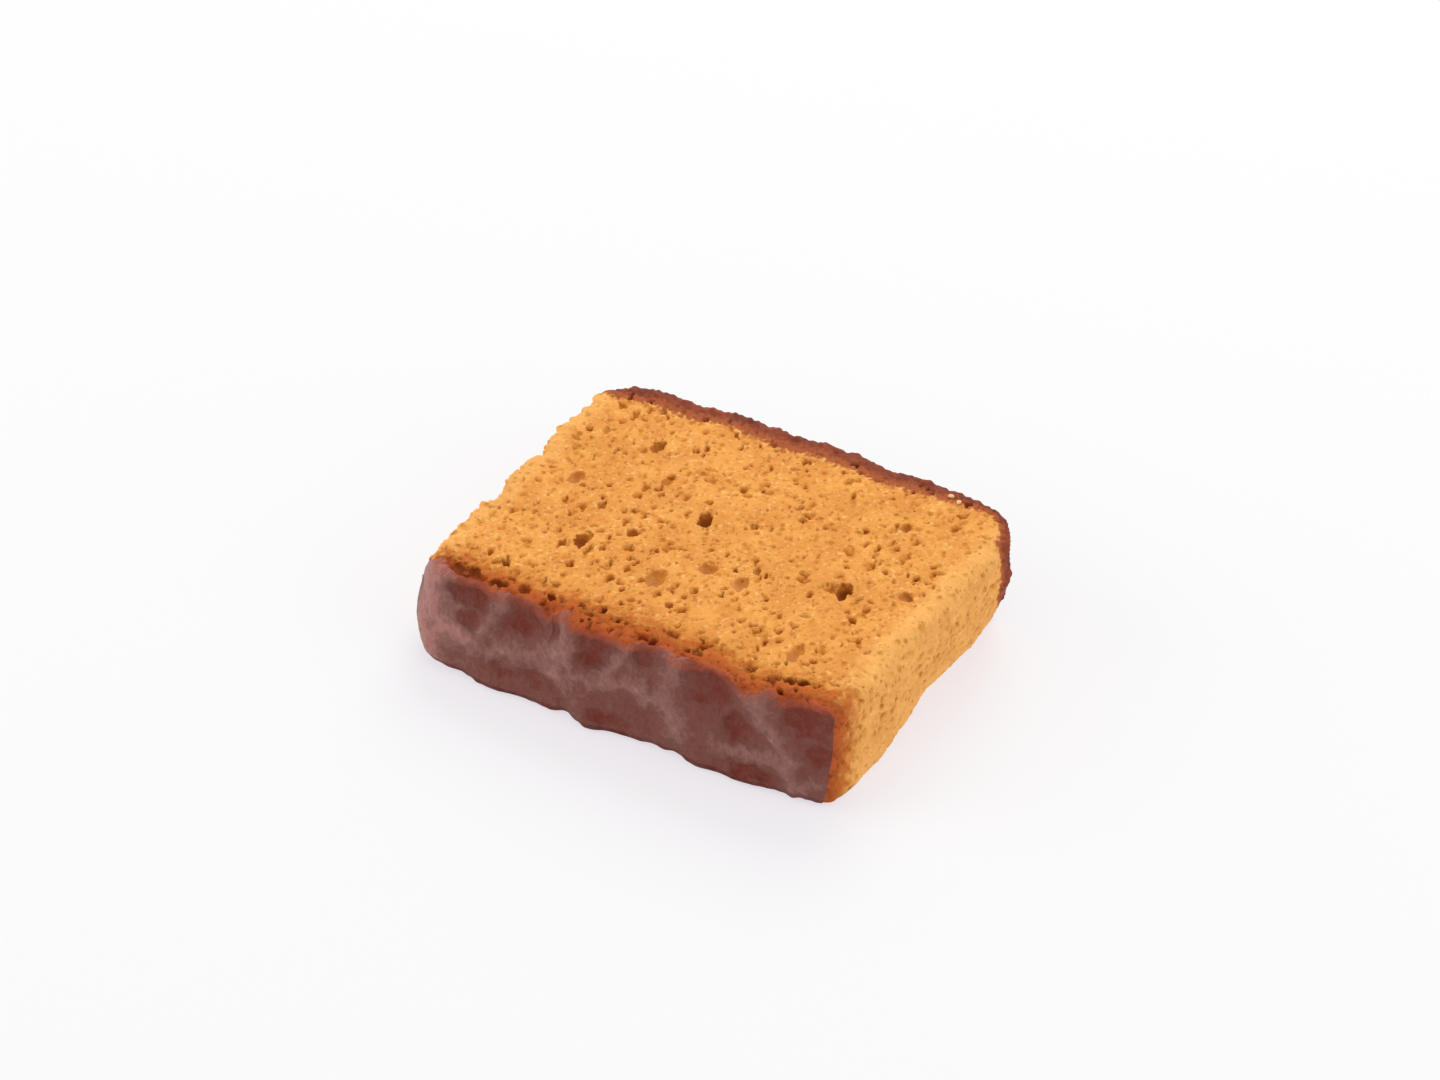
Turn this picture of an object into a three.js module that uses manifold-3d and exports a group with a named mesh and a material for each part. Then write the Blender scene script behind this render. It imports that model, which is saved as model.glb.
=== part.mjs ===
// A slice of date cake, lying on one of its two cut faces.
// Millimetres, +Z up. X runs along the slice, from its left cut end to its right one. Y runs the way the
// cake rose in its tin, from the smooth base crust (-Y) to the domed top crust, the crown (+Y). The origin is
// under the middle of the slice, on the surface that it lies on.
import * as THREE from "three";
import { mergeVertices } from "three/addons/utils/BufferGeometryUtils.js";
import Module from "manifold-3d";

// Driving dimensions of the slab
const HALF_LENGTH = 46.5;
const HALF_RISE = 35;
const LEFT_THICKNESS = 20.4;
const RIGHT_THICKNESS = 23.6;
const MEAN_THICKNESS = (LEFT_THICKNESS + RIGHT_THICKNESS) / 2;

// How far each wall stands from the middle. A lean is what one edge gains on the other, a belly is how far the
// wall swells between them, and a tilt is what the wall gains from its middle to one of its ends.
const LEFT_END = { reach: 46.8, tilt: 0.4, lean: 2.2, belly: 2.75 };
const RIGHT_END = { foot: 45.8, lean: 1.3, tilt: 2.5, belly: 1.1 };
const BASE = { top: 33.5, topTilt: 0.7, foot: 37.4, footTilt: -1.4, belly: 1.0 };
const CROWN = { reach: 34.8, tilt: 1.0, dome: 2.9, lean: -1.1 };

// A shallow hollow low on the right end, where crumb fell away, and how far its foot draws in towards the base
const HOLLOW = { depth: 1.9, at: 0.12, halfWidth: 0.42 };
const NIP = { depth: 2.8, from: 0.52 };

// Lumps of torn crumb along the top of the left end, lumps along the crown, and scallops along the foot of the
// base: each has its place along the wall, how far it stands out, and its half width
const LEFT_LUMPS = [[-20, 0.6, 7], [-13, 0.6, 2.5], [-7.6, -1.2, 2], [-1, 0.3, 4], [7.6, -1.2, 1.8], [16, 0.6, 4]];
const BASE_SCALLOPS = [
  [-33, -0.5, 2.5], [-20, -1, 5], [-9.5, -1.5, 2], [-3.5, 1.1, 2.2], [4, -0.6, 3],
  [9.5, -1.5, 3.5], [14.6, -0.9, 1.8], [20, 1.2, 3], [43, -0.8, 3],
];
const CROWN_LUMPS = [[-35, 0.8, 5], [-4.5, -1.1, 4], [15.5, -0.8, 2.5], [32, 0.6, 3]];

// Soft folds of the base crust, creased by the paper it was baked on. A path is a row of [x, z] places.
const FOLDS = [
  { path: [[-44, 15.5], [-43, 12], [-37, 9.9], [-31, 8.9], [-22, 10.6], [-16.5, 12.6]], halfWidth: 3.4, height: 0.7 },
  { path: [[-14.4, 23], [-12.7, 13.5], [-11, 11.4], [-8, 11.2], [-4, 11.8], [4.5, 13.8]], halfWidth: 2.8, height: 0.9 },
  { path: [[-14.8, 14], [-15.9, 10.5], [-12.7, 6.6]], halfWidth: 4.6, height: 0.6 },
  { path: [[-27.5, 22], [-28.9, 17.4], [-31.1, 14.5], [-32, 10]], halfWidth: 2.6, height: 0.5 },
  { path: [[1.4, 23], [0, 19], [-3.2, 15.4], [-4.3, 11.9]], halfWidth: 2.4, height: 0.5 },
  { path: [[11.2, 23], [9.7, 15.8], [8.4, 12.6], [10.8, 10], [11, 7]], halfWidth: 4, height: 0.7 },
  { path: [[25.5, 23], [28.2, 18.9], [32.2, 13.9], [35.1, 11.2], [34.9, 7.2], [36.8, 3.5]], halfWidth: 3.2, height: 1 },
  { path: [[19.9, 6.6], [24.1, 7], [32.5, 7.7]], halfWidth: 2.6, height: 0.4 },
  { path: [[36.8, 3.5], [39.9, 5.2], [44, 6.2]], halfWidth: 2.4, height: 0.5 },
];

// Shallow dents between the folds: [x, z, half width along x, half width along z, depth]
const DENTS = [
  [-35.8, 17.9, 5, 2.2, 0.7],
  [-24, 17.5, 5.5, 3.2, 0.7],
  [-18.3, 6.6, 5, 2.2, 0.6],
  [-28.1, 5.8, 4, 1.6, 0.4],
  [-6.8, 16.8, 4.6, 3.6, 0.8],
  [17, 18.5, 6, 4.2, 0.9],
  [24.4, 12.3, 3, 4, 0.7],
  [39, 19.2, 5.5, 4, 0.6],
  [41.2, 12, 3.2, 3, 0.7],
  [27.5, 3.6, 6, 1.7, 0.8],
  [-3.9, 3.7, 5, 1.8, 0.4],
];
const SKIN_DEPTH = 2;

// The corner of the underside between the left end and the base curls up off the table
const CURL = { height: 3.6, fromX: 0.55, fromY: 0.45 };

// Corner radii seen from above: left base, right base, right crown, left crown
const TOP_RADII = [7, 1.6, 9.5, 7];
const FOOT_RADII = [12, 3, 7, 5];

// Radius of the upper and lower edge of each wall
const UPPER_RIM = { left: 1.2, right: 2.6, base: 0.8, crown: 1.0 };
const LOWER_RIM = { left: 1.2, right: 1.2, base: 1.8, crown: 1.2 };

// Relief: height and wavelength of the undulations of each face, and the roughness of the cut crumb
const RELIEF = {
  left: { height: 0.25, wavelength: 13, seed: 1.0 },
  right: { height: 0.3, wavelength: 13, seed: 1.3 },
  base: { height: 0.4, wavelength: 17, seed: 2.3 },
  crown: { height: 0.25, wavelength: 9, seed: 3.1 },
  top: { height: 0.3, wavelength: 19, seed: 4.2 },
};
const GRAIN = 0.16;

// Bubbles stretch the way the cake rose, and lean a little either way.
const RISE_STRETCH = 1.35;
const BUBBLE_LEAN = 0.25;

// [x, y, radius, depth] of the holes that catch the eye on the top face
const TOP_BUBBLES = [
  [-24.7, -12.9, 2.2, 2.2],
  [-6.1, 4.7, 1.9, 2.2],
  [28.3, -2.3, 2.1, 2.6],
  [-26.3, 20.4, 1.6, 1.5],
  [-35.6, 4.8, 1.7, 0.9],
  [-5.4, -15.6, 2.0, 0.8],
  [2.1, -8.2, 1.8, 0.8],
  [29.0, -22.3, 1.9, 0.9],
  [9.6, -9.0, 1.5, 0.7],
  [29.3, 20.8, 1.2, 1.0],
  [39.7, 2.0, 1.1, 1.0],
  [-16.4, -5.7, 1.2, 1.7],
  [-33.4, -24.8, 1.2, 1.5],
  [0.7, -20.9, 0.9, 1.4],
  [10.7, -4.4, 1.0, 1.2],
  [-18.8, 12.1, 1.1, 1.1],
];

// Bubbles spread over the faces that only a turn of the slice shows: the underside's in rows and columns,
// clear of a patch round its middle, and a line of them along each end
const UNDERSIDE_ROWS = 3;
const UNDERSIDE_COLUMNS = 4;
const UNDERSIDE_SPREAD = 0.82;
const REST_PATCH = 9;
const LEFT_BUBBLES = 4;
const RIGHT_BUBBLES = 3;
const END_SPREAD = 0.75;
const SPREAD_RADII = [0.9, 1.9];

// Divisions of the slab's surface along X, Y and Z, of one bubble, and the seeds of the random draws
const DIVISIONS = [42, 32, 10];
const BUBBLE_DETAIL = 1;
const GRAIN_SEED = 7;
const BUBBLE_SEED = 8;

const CRUMB = new THREE.MeshStandardMaterial({ color: 0xe2984e, roughness: 0.85, metalness: 0 });

const mix = (from, to, share) => from + (to - from) * share;
const clamp01 = (value) => Math.min(1, Math.max(0, value));
const bell = (value, middle, halfWidth) => Math.exp(-(((value - middle) / halfWidth) ** 2));
const lumps = (list, place) => list.reduce((sum, [at, out, halfWidth]) => sum + out * bell(place, at, halfWidth), 0);

// A smooth, repeatable undulation of about unit height: plane waves that set off a golden angle apart.
function ripple(p, q, { wavelength, seed }) {
  const waves = 6;
  const goldenAngle = Math.PI * (3 - Math.sqrt(5));
  let sum = 0;
  for (let k = 0; k < waves; k++) {
    const turn = goldenAngle * k + seed;
    const length = wavelength * (0.7 + 0.12 * k);
    const along = p * Math.cos(turn) + q * Math.sin(turn);
    sum += Math.sin((2 * Math.PI * along) / length + 1.7 * k * k + 5.3 * seed);
  }
  return sum / Math.sqrt(waves);
}

// A seeded stream of numbers from 0 to 1.
function randomStream(seed) {
  let state = seed;
  return () => {
    state = (state + 0x6d2b79f5) | 0;
    let mixed = Math.imul(state ^ (state >>> 15), 1 | state);
    mixed = (mixed + Math.imul(mixed ^ (mixed >>> 7), 61 | mixed)) ^ mixed;
    return ((mixed ^ (mixed >>> 14)) >>> 0) / 2 ** 32;
  };
}

// Rounds the corners of the square of (a, b) from -1 to 1, ring by ring, by the radii at height c.
function roundCorners(a, b, c) {
  const ring = Math.max(Math.abs(a), Math.abs(b));
  if (ring === 0) return [0, 0];
  const corner = b < 0 ? (a < 0 ? 0 : 1) : a < 0 ? 3 : 2;
  const radius = mix(TOP_RADII[corner], FOOT_RADII[corner], (1 - c) / 2);
  const overX = (Math.abs(a) / ring) * HALF_LENGTH - (HALF_LENGTH - radius);
  const overY = (Math.abs(b) / ring) * HALF_RISE - (HALF_RISE - radius);
  if (overX <= 0 || overY <= 0) return [a, b];
  const pull = radius / Math.hypot(overX, overY);
  return [
    (Math.sign(a) * ring * (HALF_LENGTH - radius + overX * pull)) / HALF_LENGTH,
    (Math.sign(b) * ring * (HALF_RISE - radius + overY * pull)) / HALF_RISE,
  ];
}

// How far a wall draws in at height c to round its upper and lower edge, each a quarter circle.
function rimInset(c, side) {
  const level = (c * MEAN_THICKNESS) / 2;
  const quarter = (radius, height) => {
    const share = clamp01((height - (MEAN_THICKNESS / 2 - radius)) / radius);
    return radius * (1 - Math.sqrt(1 - share * share));
  };
  return quarter(UPPER_RIM[side], level) + quarter(LOWER_RIM[side], -level);
}

// Where the four walls stand at (a, b, c).
function walls(a, b, c) {
  const low = (1 - c) / 2;
  const high = (1 + c) / 2;
  const swell = 1 - c * c;
  const level = (c * MEAN_THICKNESS) / 2;
  const relief = (side, along) => RELIEF[side].height * ripple(along, level, RELIEF[side]);

  // The left end leans and swells most beside the base, the right end beside the crown.
  const nearBase = 0.65 - 0.35 * b;
  const nearCrown = (1 + b) / 2;
  const hollow = HOLLOW.depth * bell(b, HOLLOW.at, HOLLOW.halfWidth) * low;
  const nip = NIP.depth * clamp01((-b - NIP.from) / (1 - NIP.from)) * low;
  const leftTop = LEFT_END.reach - LEFT_END.tilt * b + lumps(LEFT_LUMPS, b * HALF_RISE) * high;
  const left = leftTop + (LEFT_END.lean * low + LEFT_END.belly * swell) * nearBase;
  const rightTop = RIGHT_END.lean + RIGHT_END.tilt * b;
  const right = RIGHT_END.foot + rightTop * high + RIGHT_END.belly * swell * nearCrown - hollow - nip;

  const bow = 1 - a * a;
  const scallops = lumps(BASE_SCALLOPS, a * HALF_LENGTH) * low * low;
  const baseTop = BASE.top + BASE.topTilt * a;
  const base = baseTop * high + (BASE.foot + BASE.footTilt * a) * low + BASE.belly * bow + scallops;
  const crownLumps = lumps(CROWN_LUMPS, a * HALF_LENGTH);
  const crown = CROWN.reach - CROWN.tilt * a + CROWN.dome * bow + CROWN.lean * low + crownLumps * high;
  return {
    left: -left + relief("left", b * HALF_RISE) + rimInset(c, "left"),
    right: right + relief("right", b * HALF_RISE) - rimInset(c, "right"),
    base: -base + relief("base", a * HALF_LENGTH) + rimInset(c, "base"),
    crown: crown + relief("crown", a * HALF_LENGTH) - rimInset(c, "crown"),
  };
}

// Height of the top face: a wedge that undulates gently.
function topHeight(x, y) {
  const wedge = mix(LEFT_THICKNESS, RIGHT_THICKNESS, (x + HALF_LENGTH) / (2 * HALF_LENGTH));
  return wedge + RELIEF.top.height * ripple(x, y, RELIEF.top);
}

// Height of the underside: flat but for its curled corner.
function footHeight(a, b) {
  const alongX = clamp01((-a - CURL.fromX) / (1 - CURL.fromX));
  const alongY = clamp01((-b - CURL.fromY) / (1 - CURL.fromY));
  return CURL.height * (alongX * alongY) ** 2;
}

// Distance of (x, z) from a path's nearest straight part.
function pathDistance(x, z, path) {
  let nearest = Infinity;
  for (let n = 1; n < path.length; n++) {
    const [x0, z0] = path[n - 1];
    const [dx, dz] = [path[n][0] - x0, path[n][1] - z0];
    const share = clamp01(((x - x0) * dx + (z - z0) * dz) / (dx * dx + dz * dz));
    nearest = Math.min(nearest, Math.hypot(x - x0 - share * dx, z - z0 - share * dz));
  }
  return nearest;
}

// How far the base crust stands out at (x, z): its highest fold less its deepest dent.
function wrinkle(x, z) {
  const up = FOLDS.map(({ path, halfWidth, height }) => height * bell(pathDistance(x, z, path), 0, halfWidth));
  const down = DENTS.map(([x0, z0, halfX, halfZ, depth]) => depth * bell(x, x0, halfX) * bell(z, z0, halfZ));
  return Math.max(...up) - Math.max(...down);
}

// The slab's point at (a, b, c), each from -1 to 1. The base crust's skin is wrinkled between its two edges.
function slabPoint(a, b, c) {
  const [u, v] = roundCorners(a, b, c);
  const wall = walls(u, v, c);
  const x = mix(wall.left, wall.right, (u + 1) / 2);
  const y = mix(wall.base, wall.crown, (v + 1) / 2);
  const z = mix(footHeight(u, v), topHeight(x, y), (c + 1) / 2);
  const skin = clamp01(1 - (y - wall.base) / SKIN_DEPTH) * (Math.abs(c) < 1 ? 1 : 0);
  return new THREE.Vector3(x, y - skin * wrinkle(x, z), z);
}

// A geometry with its positions alone, each shared by all the triangles that meet there.
function welded(geometry) {
  geometry.deleteAttribute("normal");
  geometry.deleteAttribute("uv");
  return mergeVertices(geometry, 1e-4);
}

// The slab: a divided box whose points move to the slab's, closer together towards the upper and lower edges.
// The cut faces that stand clear of the table are roughened.
function slabGeometry() {
  const slab = welded(new THREE.BoxGeometry(2, 2, 2, ...DIVISIONS));
  const position = slab.attributes.position;
  const random = randomStream(GRAIN_SEED);
  for (let n = 0; n < position.count; n++) {
    const a = position.getX(n);
    const b = position.getY(n);
    const step = position.getZ(n);
    const point = slabPoint(a, b, Math.sin((Math.PI / 2) * step));
    const grain = GRAIN * (2 * random() - 1);
    if (step === 1) point.z += grain;
    else if (step > -1 && Math.abs(a) === 1) point.x += grain;
    position.setXYZ(n, point.x, point.y, point.z);
  }
  return slab;
}

// One bubble: a ball stretched the way the cake rose.
function bubbleGeometry(centre, radius) {
  const ball = new THREE.IcosahedronGeometry(radius, BUBBLE_DETAIL);
  ball.scale(1, RISE_STRETCH, 1);
  ball.rotateZ(BUBBLE_LEAN * Math.sin(centre.x));
  ball.translate(centre.x, centre.y, centre.z);
  return welded(ball);
}

// The bubbles that open onto the top face, each as deep as its place on the list says.
function topBubbles() {
  return TOP_BUBBLES.map(([x, y, radius, depth]) => {
    const centre = new THREE.Vector3(x, y, topHeight(x, y) - depth + radius);
    return bubbleGeometry(centre, radius);
  });
}

// The bubbles that open onto the underside and the two ends.
function spreadBubbles() {
  const random = randomStream(BUBBLE_SEED);
  const between = (low, high) => mix(low, high, random());
  const place = (n, count, halfWidth) => ((2 * (n + between(0.2, 0.8))) / count - 1) * halfWidth;
  const bubbles = [];
  for (let row = 0; row < UNDERSIDE_ROWS; row++) {
    for (let column = 0; column < UNDERSIDE_COLUMNS; column++) {
      const x = place(column, UNDERSIDE_COLUMNS, UNDERSIDE_SPREAD * HALF_LENGTH);
      const y = place(row, UNDERSIDE_ROWS, UNDERSIDE_SPREAD * HALF_RISE);
      const radius = between(...SPREAD_RADII);
      if (Math.hypot(x, y) > REST_PATCH) bubbles.push(bubbleGeometry(new THREE.Vector3(x, y, 0), radius));
    }
  }
  for (const [a, count] of [[-1, LEFT_BUBBLES], [1, RIGHT_BUBBLES]]) {
    for (let n = 0; n < count; n++) {
      const centre = slabPoint(a, place(n, count, END_SPREAD), between(-0.5, 0.5));
      bubbles.push(bubbleGeometry(centre, between(...SPREAD_RADII)));
    }
  }
  return bubbles;
}

const wasm = await Module();
wasm.setup();

// A welded, closed geometry as a solid that can be cut.
function solidOf(geometry) {
  const mesh = new wasm.Mesh({
    numProp: 3,
    vertProperties: new Float32Array(geometry.attributes.position.array),
    triVerts: new Uint32Array(geometry.index.array),
  });
  return new wasm.Manifold(mesh);
}

// A cut solid as a geometry, moved so that the origin is under the middle of its box.
function centredGeometry(solid) {
  const { vertProperties, triVerts } = solid.getMesh();
  const geometry = new THREE.BufferGeometry();
  geometry.setAttribute("position", new THREE.BufferAttribute(vertProperties, 3));
  geometry.setIndex(new THREE.BufferAttribute(triVerts, 1));
  geometry.computeBoundingBox();
  const middle = geometry.boundingBox.getCenter(new THREE.Vector3());
  geometry.translate(-middle.x, -middle.y, -geometry.boundingBox.min.z);
  geometry.computeVertexNormals();
  return geometry;
}

// The slice: the slab with every bubble cut out of it.
function cakeSlice() {
  const bubbles = [...topBubbles(), ...spreadBubbles()].map(solidOf);
  const pitted = bubbles.reduce((solid, bubble) => solid.subtract(bubble), solidOf(slabGeometry()));
  const slice = new THREE.Mesh(centredGeometry(pitted), CRUMB);
  slice.name = "cake_slice";
  return slice;
}

const dateCake = new THREE.Group();
dateCake.add(cakeSlice());

export default dateCake;
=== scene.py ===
"""The looks of a slice of date cake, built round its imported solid.

The slice is one closed surface. Its form is the solid's: a wedge-shaped slab with leaning walls, round
corners and a curled foot. Bubbles of every size are then cut into its crumb, and its two crusts are wrinkled
and browned. Lengths are in mm until a mesh is made of them.
"""
import logging
from dataclasses import dataclass, field
from enum import Enum
from typing import Any

import bpy
import numpy as np
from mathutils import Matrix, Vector


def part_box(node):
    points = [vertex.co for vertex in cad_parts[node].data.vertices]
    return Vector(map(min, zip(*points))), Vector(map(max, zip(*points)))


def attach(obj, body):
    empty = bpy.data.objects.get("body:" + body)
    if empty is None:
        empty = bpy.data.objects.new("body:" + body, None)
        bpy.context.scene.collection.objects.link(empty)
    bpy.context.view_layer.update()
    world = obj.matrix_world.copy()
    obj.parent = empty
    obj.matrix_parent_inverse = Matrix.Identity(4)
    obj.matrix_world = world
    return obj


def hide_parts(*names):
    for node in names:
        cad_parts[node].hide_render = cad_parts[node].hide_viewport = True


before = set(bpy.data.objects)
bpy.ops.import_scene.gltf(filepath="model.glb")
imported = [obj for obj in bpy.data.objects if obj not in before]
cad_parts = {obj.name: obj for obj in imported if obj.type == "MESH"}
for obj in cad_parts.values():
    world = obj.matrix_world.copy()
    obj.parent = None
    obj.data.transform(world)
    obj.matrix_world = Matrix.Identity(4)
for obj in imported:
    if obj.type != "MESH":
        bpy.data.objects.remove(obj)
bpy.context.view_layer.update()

LOG = logging.getLogger("date_cake")
MM = 0.001
NODE = "cake_slice"
BODY = "root"
GOLDEN_ANGLE = np.pi * (3 - np.sqrt(5))
# Less than any length that matters, to keep a division from nought
TINY = 1e-9

# Inputs and output of a colour Mix node, which share their names with its other kinds
MIX_FACTOR, MIX_A, MIX_B, MIX_RESULT = 0, 6, 7, 2

# Kinds of field: a range, and rows of two or three numbers
Span = tuple[float, float]
Pairs = tuple[Span, ...]
Triples = tuple[tuple[float, float, float], ...]

# What a material knows of each point of the surface, by name
Values = dict[str | float, bpy.types.NodeSocket]


def linear(colour: str) -> tuple[float, float, float, float]:
    """Turns an sRGB colour into linear light.

    Args:
        colour: The colour as "#RRGGBB".

    Returns:
        Red, green, blue and an alpha of 1.
    """
    share = np.array([int(colour[n : n + 2], 16) for n in (1, 3, 5)]) / 255
    light = np.where(share <= 0.04045, share / 12.92, ((share + 0.055) / 1.055) ** 2.4)
    return (*light.tolist(), 1.0)


def smoothstep(low: float, high: float, value: np.ndarray) -> np.ndarray:
    """Eases from 0 at low to 1 at high, as 3 t squared less 2 t cubed."""
    share = np.clip((value - low) / (high - low), 0, 1)
    return share * share * (3 - 2 * share)


def bell(value: np.ndarray, middle: float, half_width: float) -> np.ndarray:
    """A bell curve that is 1 at its middle."""
    return np.exp(-(((value - middle) / half_width) ** 2))


def between(rows: Pairs, place: np.ndarray) -> np.ndarray:
    """The value at each place, on straight lines between rows of place and value."""
    return np.interp(place, *np.array(rows).T)


def add_node(
    tree: bpy.types.NodeTree,
    kind: str,
    inputs: dict[str | int, Any] | None = None,
    **settings: Any,
) -> bpy.types.Node:
    """Adds one shader node with its settings and links.

    Args:
        tree: The material's or the world's node tree.
        kind: The node's type, without its ShaderNode prefix.
        inputs: Input name or number, to a value or to the output socket that feeds it.
        settings: The node's own properties.

    Returns:
        The new node.
    """
    node = tree.nodes.new("ShaderNode" + kind)
    for name, value in settings.items():
        setattr(node, name, value)
    for key, value in (inputs or {}).items():
        if isinstance(value, bpy.types.NodeSocket):
            tree.links.new(value, node.inputs[key])
        else:
            node.inputs[key].default_value = value
    return node


def new_material(name: str) -> bpy.types.Material:
    """Makes a material that has no nodes yet.

    Args:
        name: The material's name.

    Returns:
        The material.
    """
    material = bpy.data.materials.new(name)
    material.use_nodes = True
    material.node_tree.nodes.clear()
    return material


def give_surface(material: bpy.types.Material, inputs: dict[str | int, Any]) -> bpy.types.Material:
    """Ends a material with its surface.

    Args:
        material: The material.
        inputs: What its surface is given, as for add_node.

    Returns:
        The material.
    """
    shader = add_node(material.node_tree, "BsdfPrincipled", inputs)
    add_node(material.node_tree, "OutputMaterial", {"Surface": shader.outputs[0]})
    return material


class Side(Enum):
    """The slab's sides. The four walls come first, in the order of its rim seen from above."""

    BASE = 0
    RIGHT = 1
    CROWN = 2
    LEFT = 3
    TOP = 4
    UNDERSIDE = 5


class Corner(Enum):
    """The slab's corners, in the order of its rim seen from above."""

    LEFT_BASE = 0
    RIGHT_BASE = 1
    RIGHT_CROWN = 2
    LEFT_CROWN = 3


@dataclass(frozen=True)
class Ripple:
    """A smooth, repeatable undulation: plane waves of like length that set off a golden angle apart."""

    height: float
    wavelength: float
    seed: float
    waves: int = 6
    # Length of the first wave as a share of the wavelength, and how much is added for each of the others
    first_length: float = 0.7
    length_step: float = 0.12
    # Phase of a wave: so much for the square of its number, and so much for the seed
    wave_phase: float = 1.7
    seed_phase: float = 5.3

    def at(self, p: np.ndarray, q: np.ndarray) -> np.ndarray:
        """Height of the undulation at points of a plane.

        Args:
            p: First coordinate of each point, mm.
            q: Second coordinate of each point, mm.

        Returns:
            The sum of the waves' sines over the root of their number, times the height, mm.
        """
        total = np.zeros(np.broadcast(p, q).shape)
        for k in range(self.waves):
            turn = GOLDEN_ANGLE * k + self.seed
            length = self.wavelength * (self.first_length + self.length_step * k)
            along = p * np.cos(turn) + q * np.sin(turn)
            phase = self.wave_phase * k * k + self.seed_phase * self.seed
            total += np.sin(2 * np.pi * along / length + phase)
        return self.height * total / np.sqrt(self.waves)


@dataclass(frozen=True)
class Rim:
    """Radius of a wall's upper and lower edge, mm."""

    upper: float
    lower: float


@dataclass(frozen=True)
class SlabSurface:
    """Points of the slab with how far each lies from the crusts, the browned crumb and the two ends, mm."""

    points: np.ndarray
    base_gap: np.ndarray
    toast_gap: np.ndarray
    crown_gap: np.ndarray
    left_gap: np.ndarray
    right_gap: np.ndarray


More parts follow.
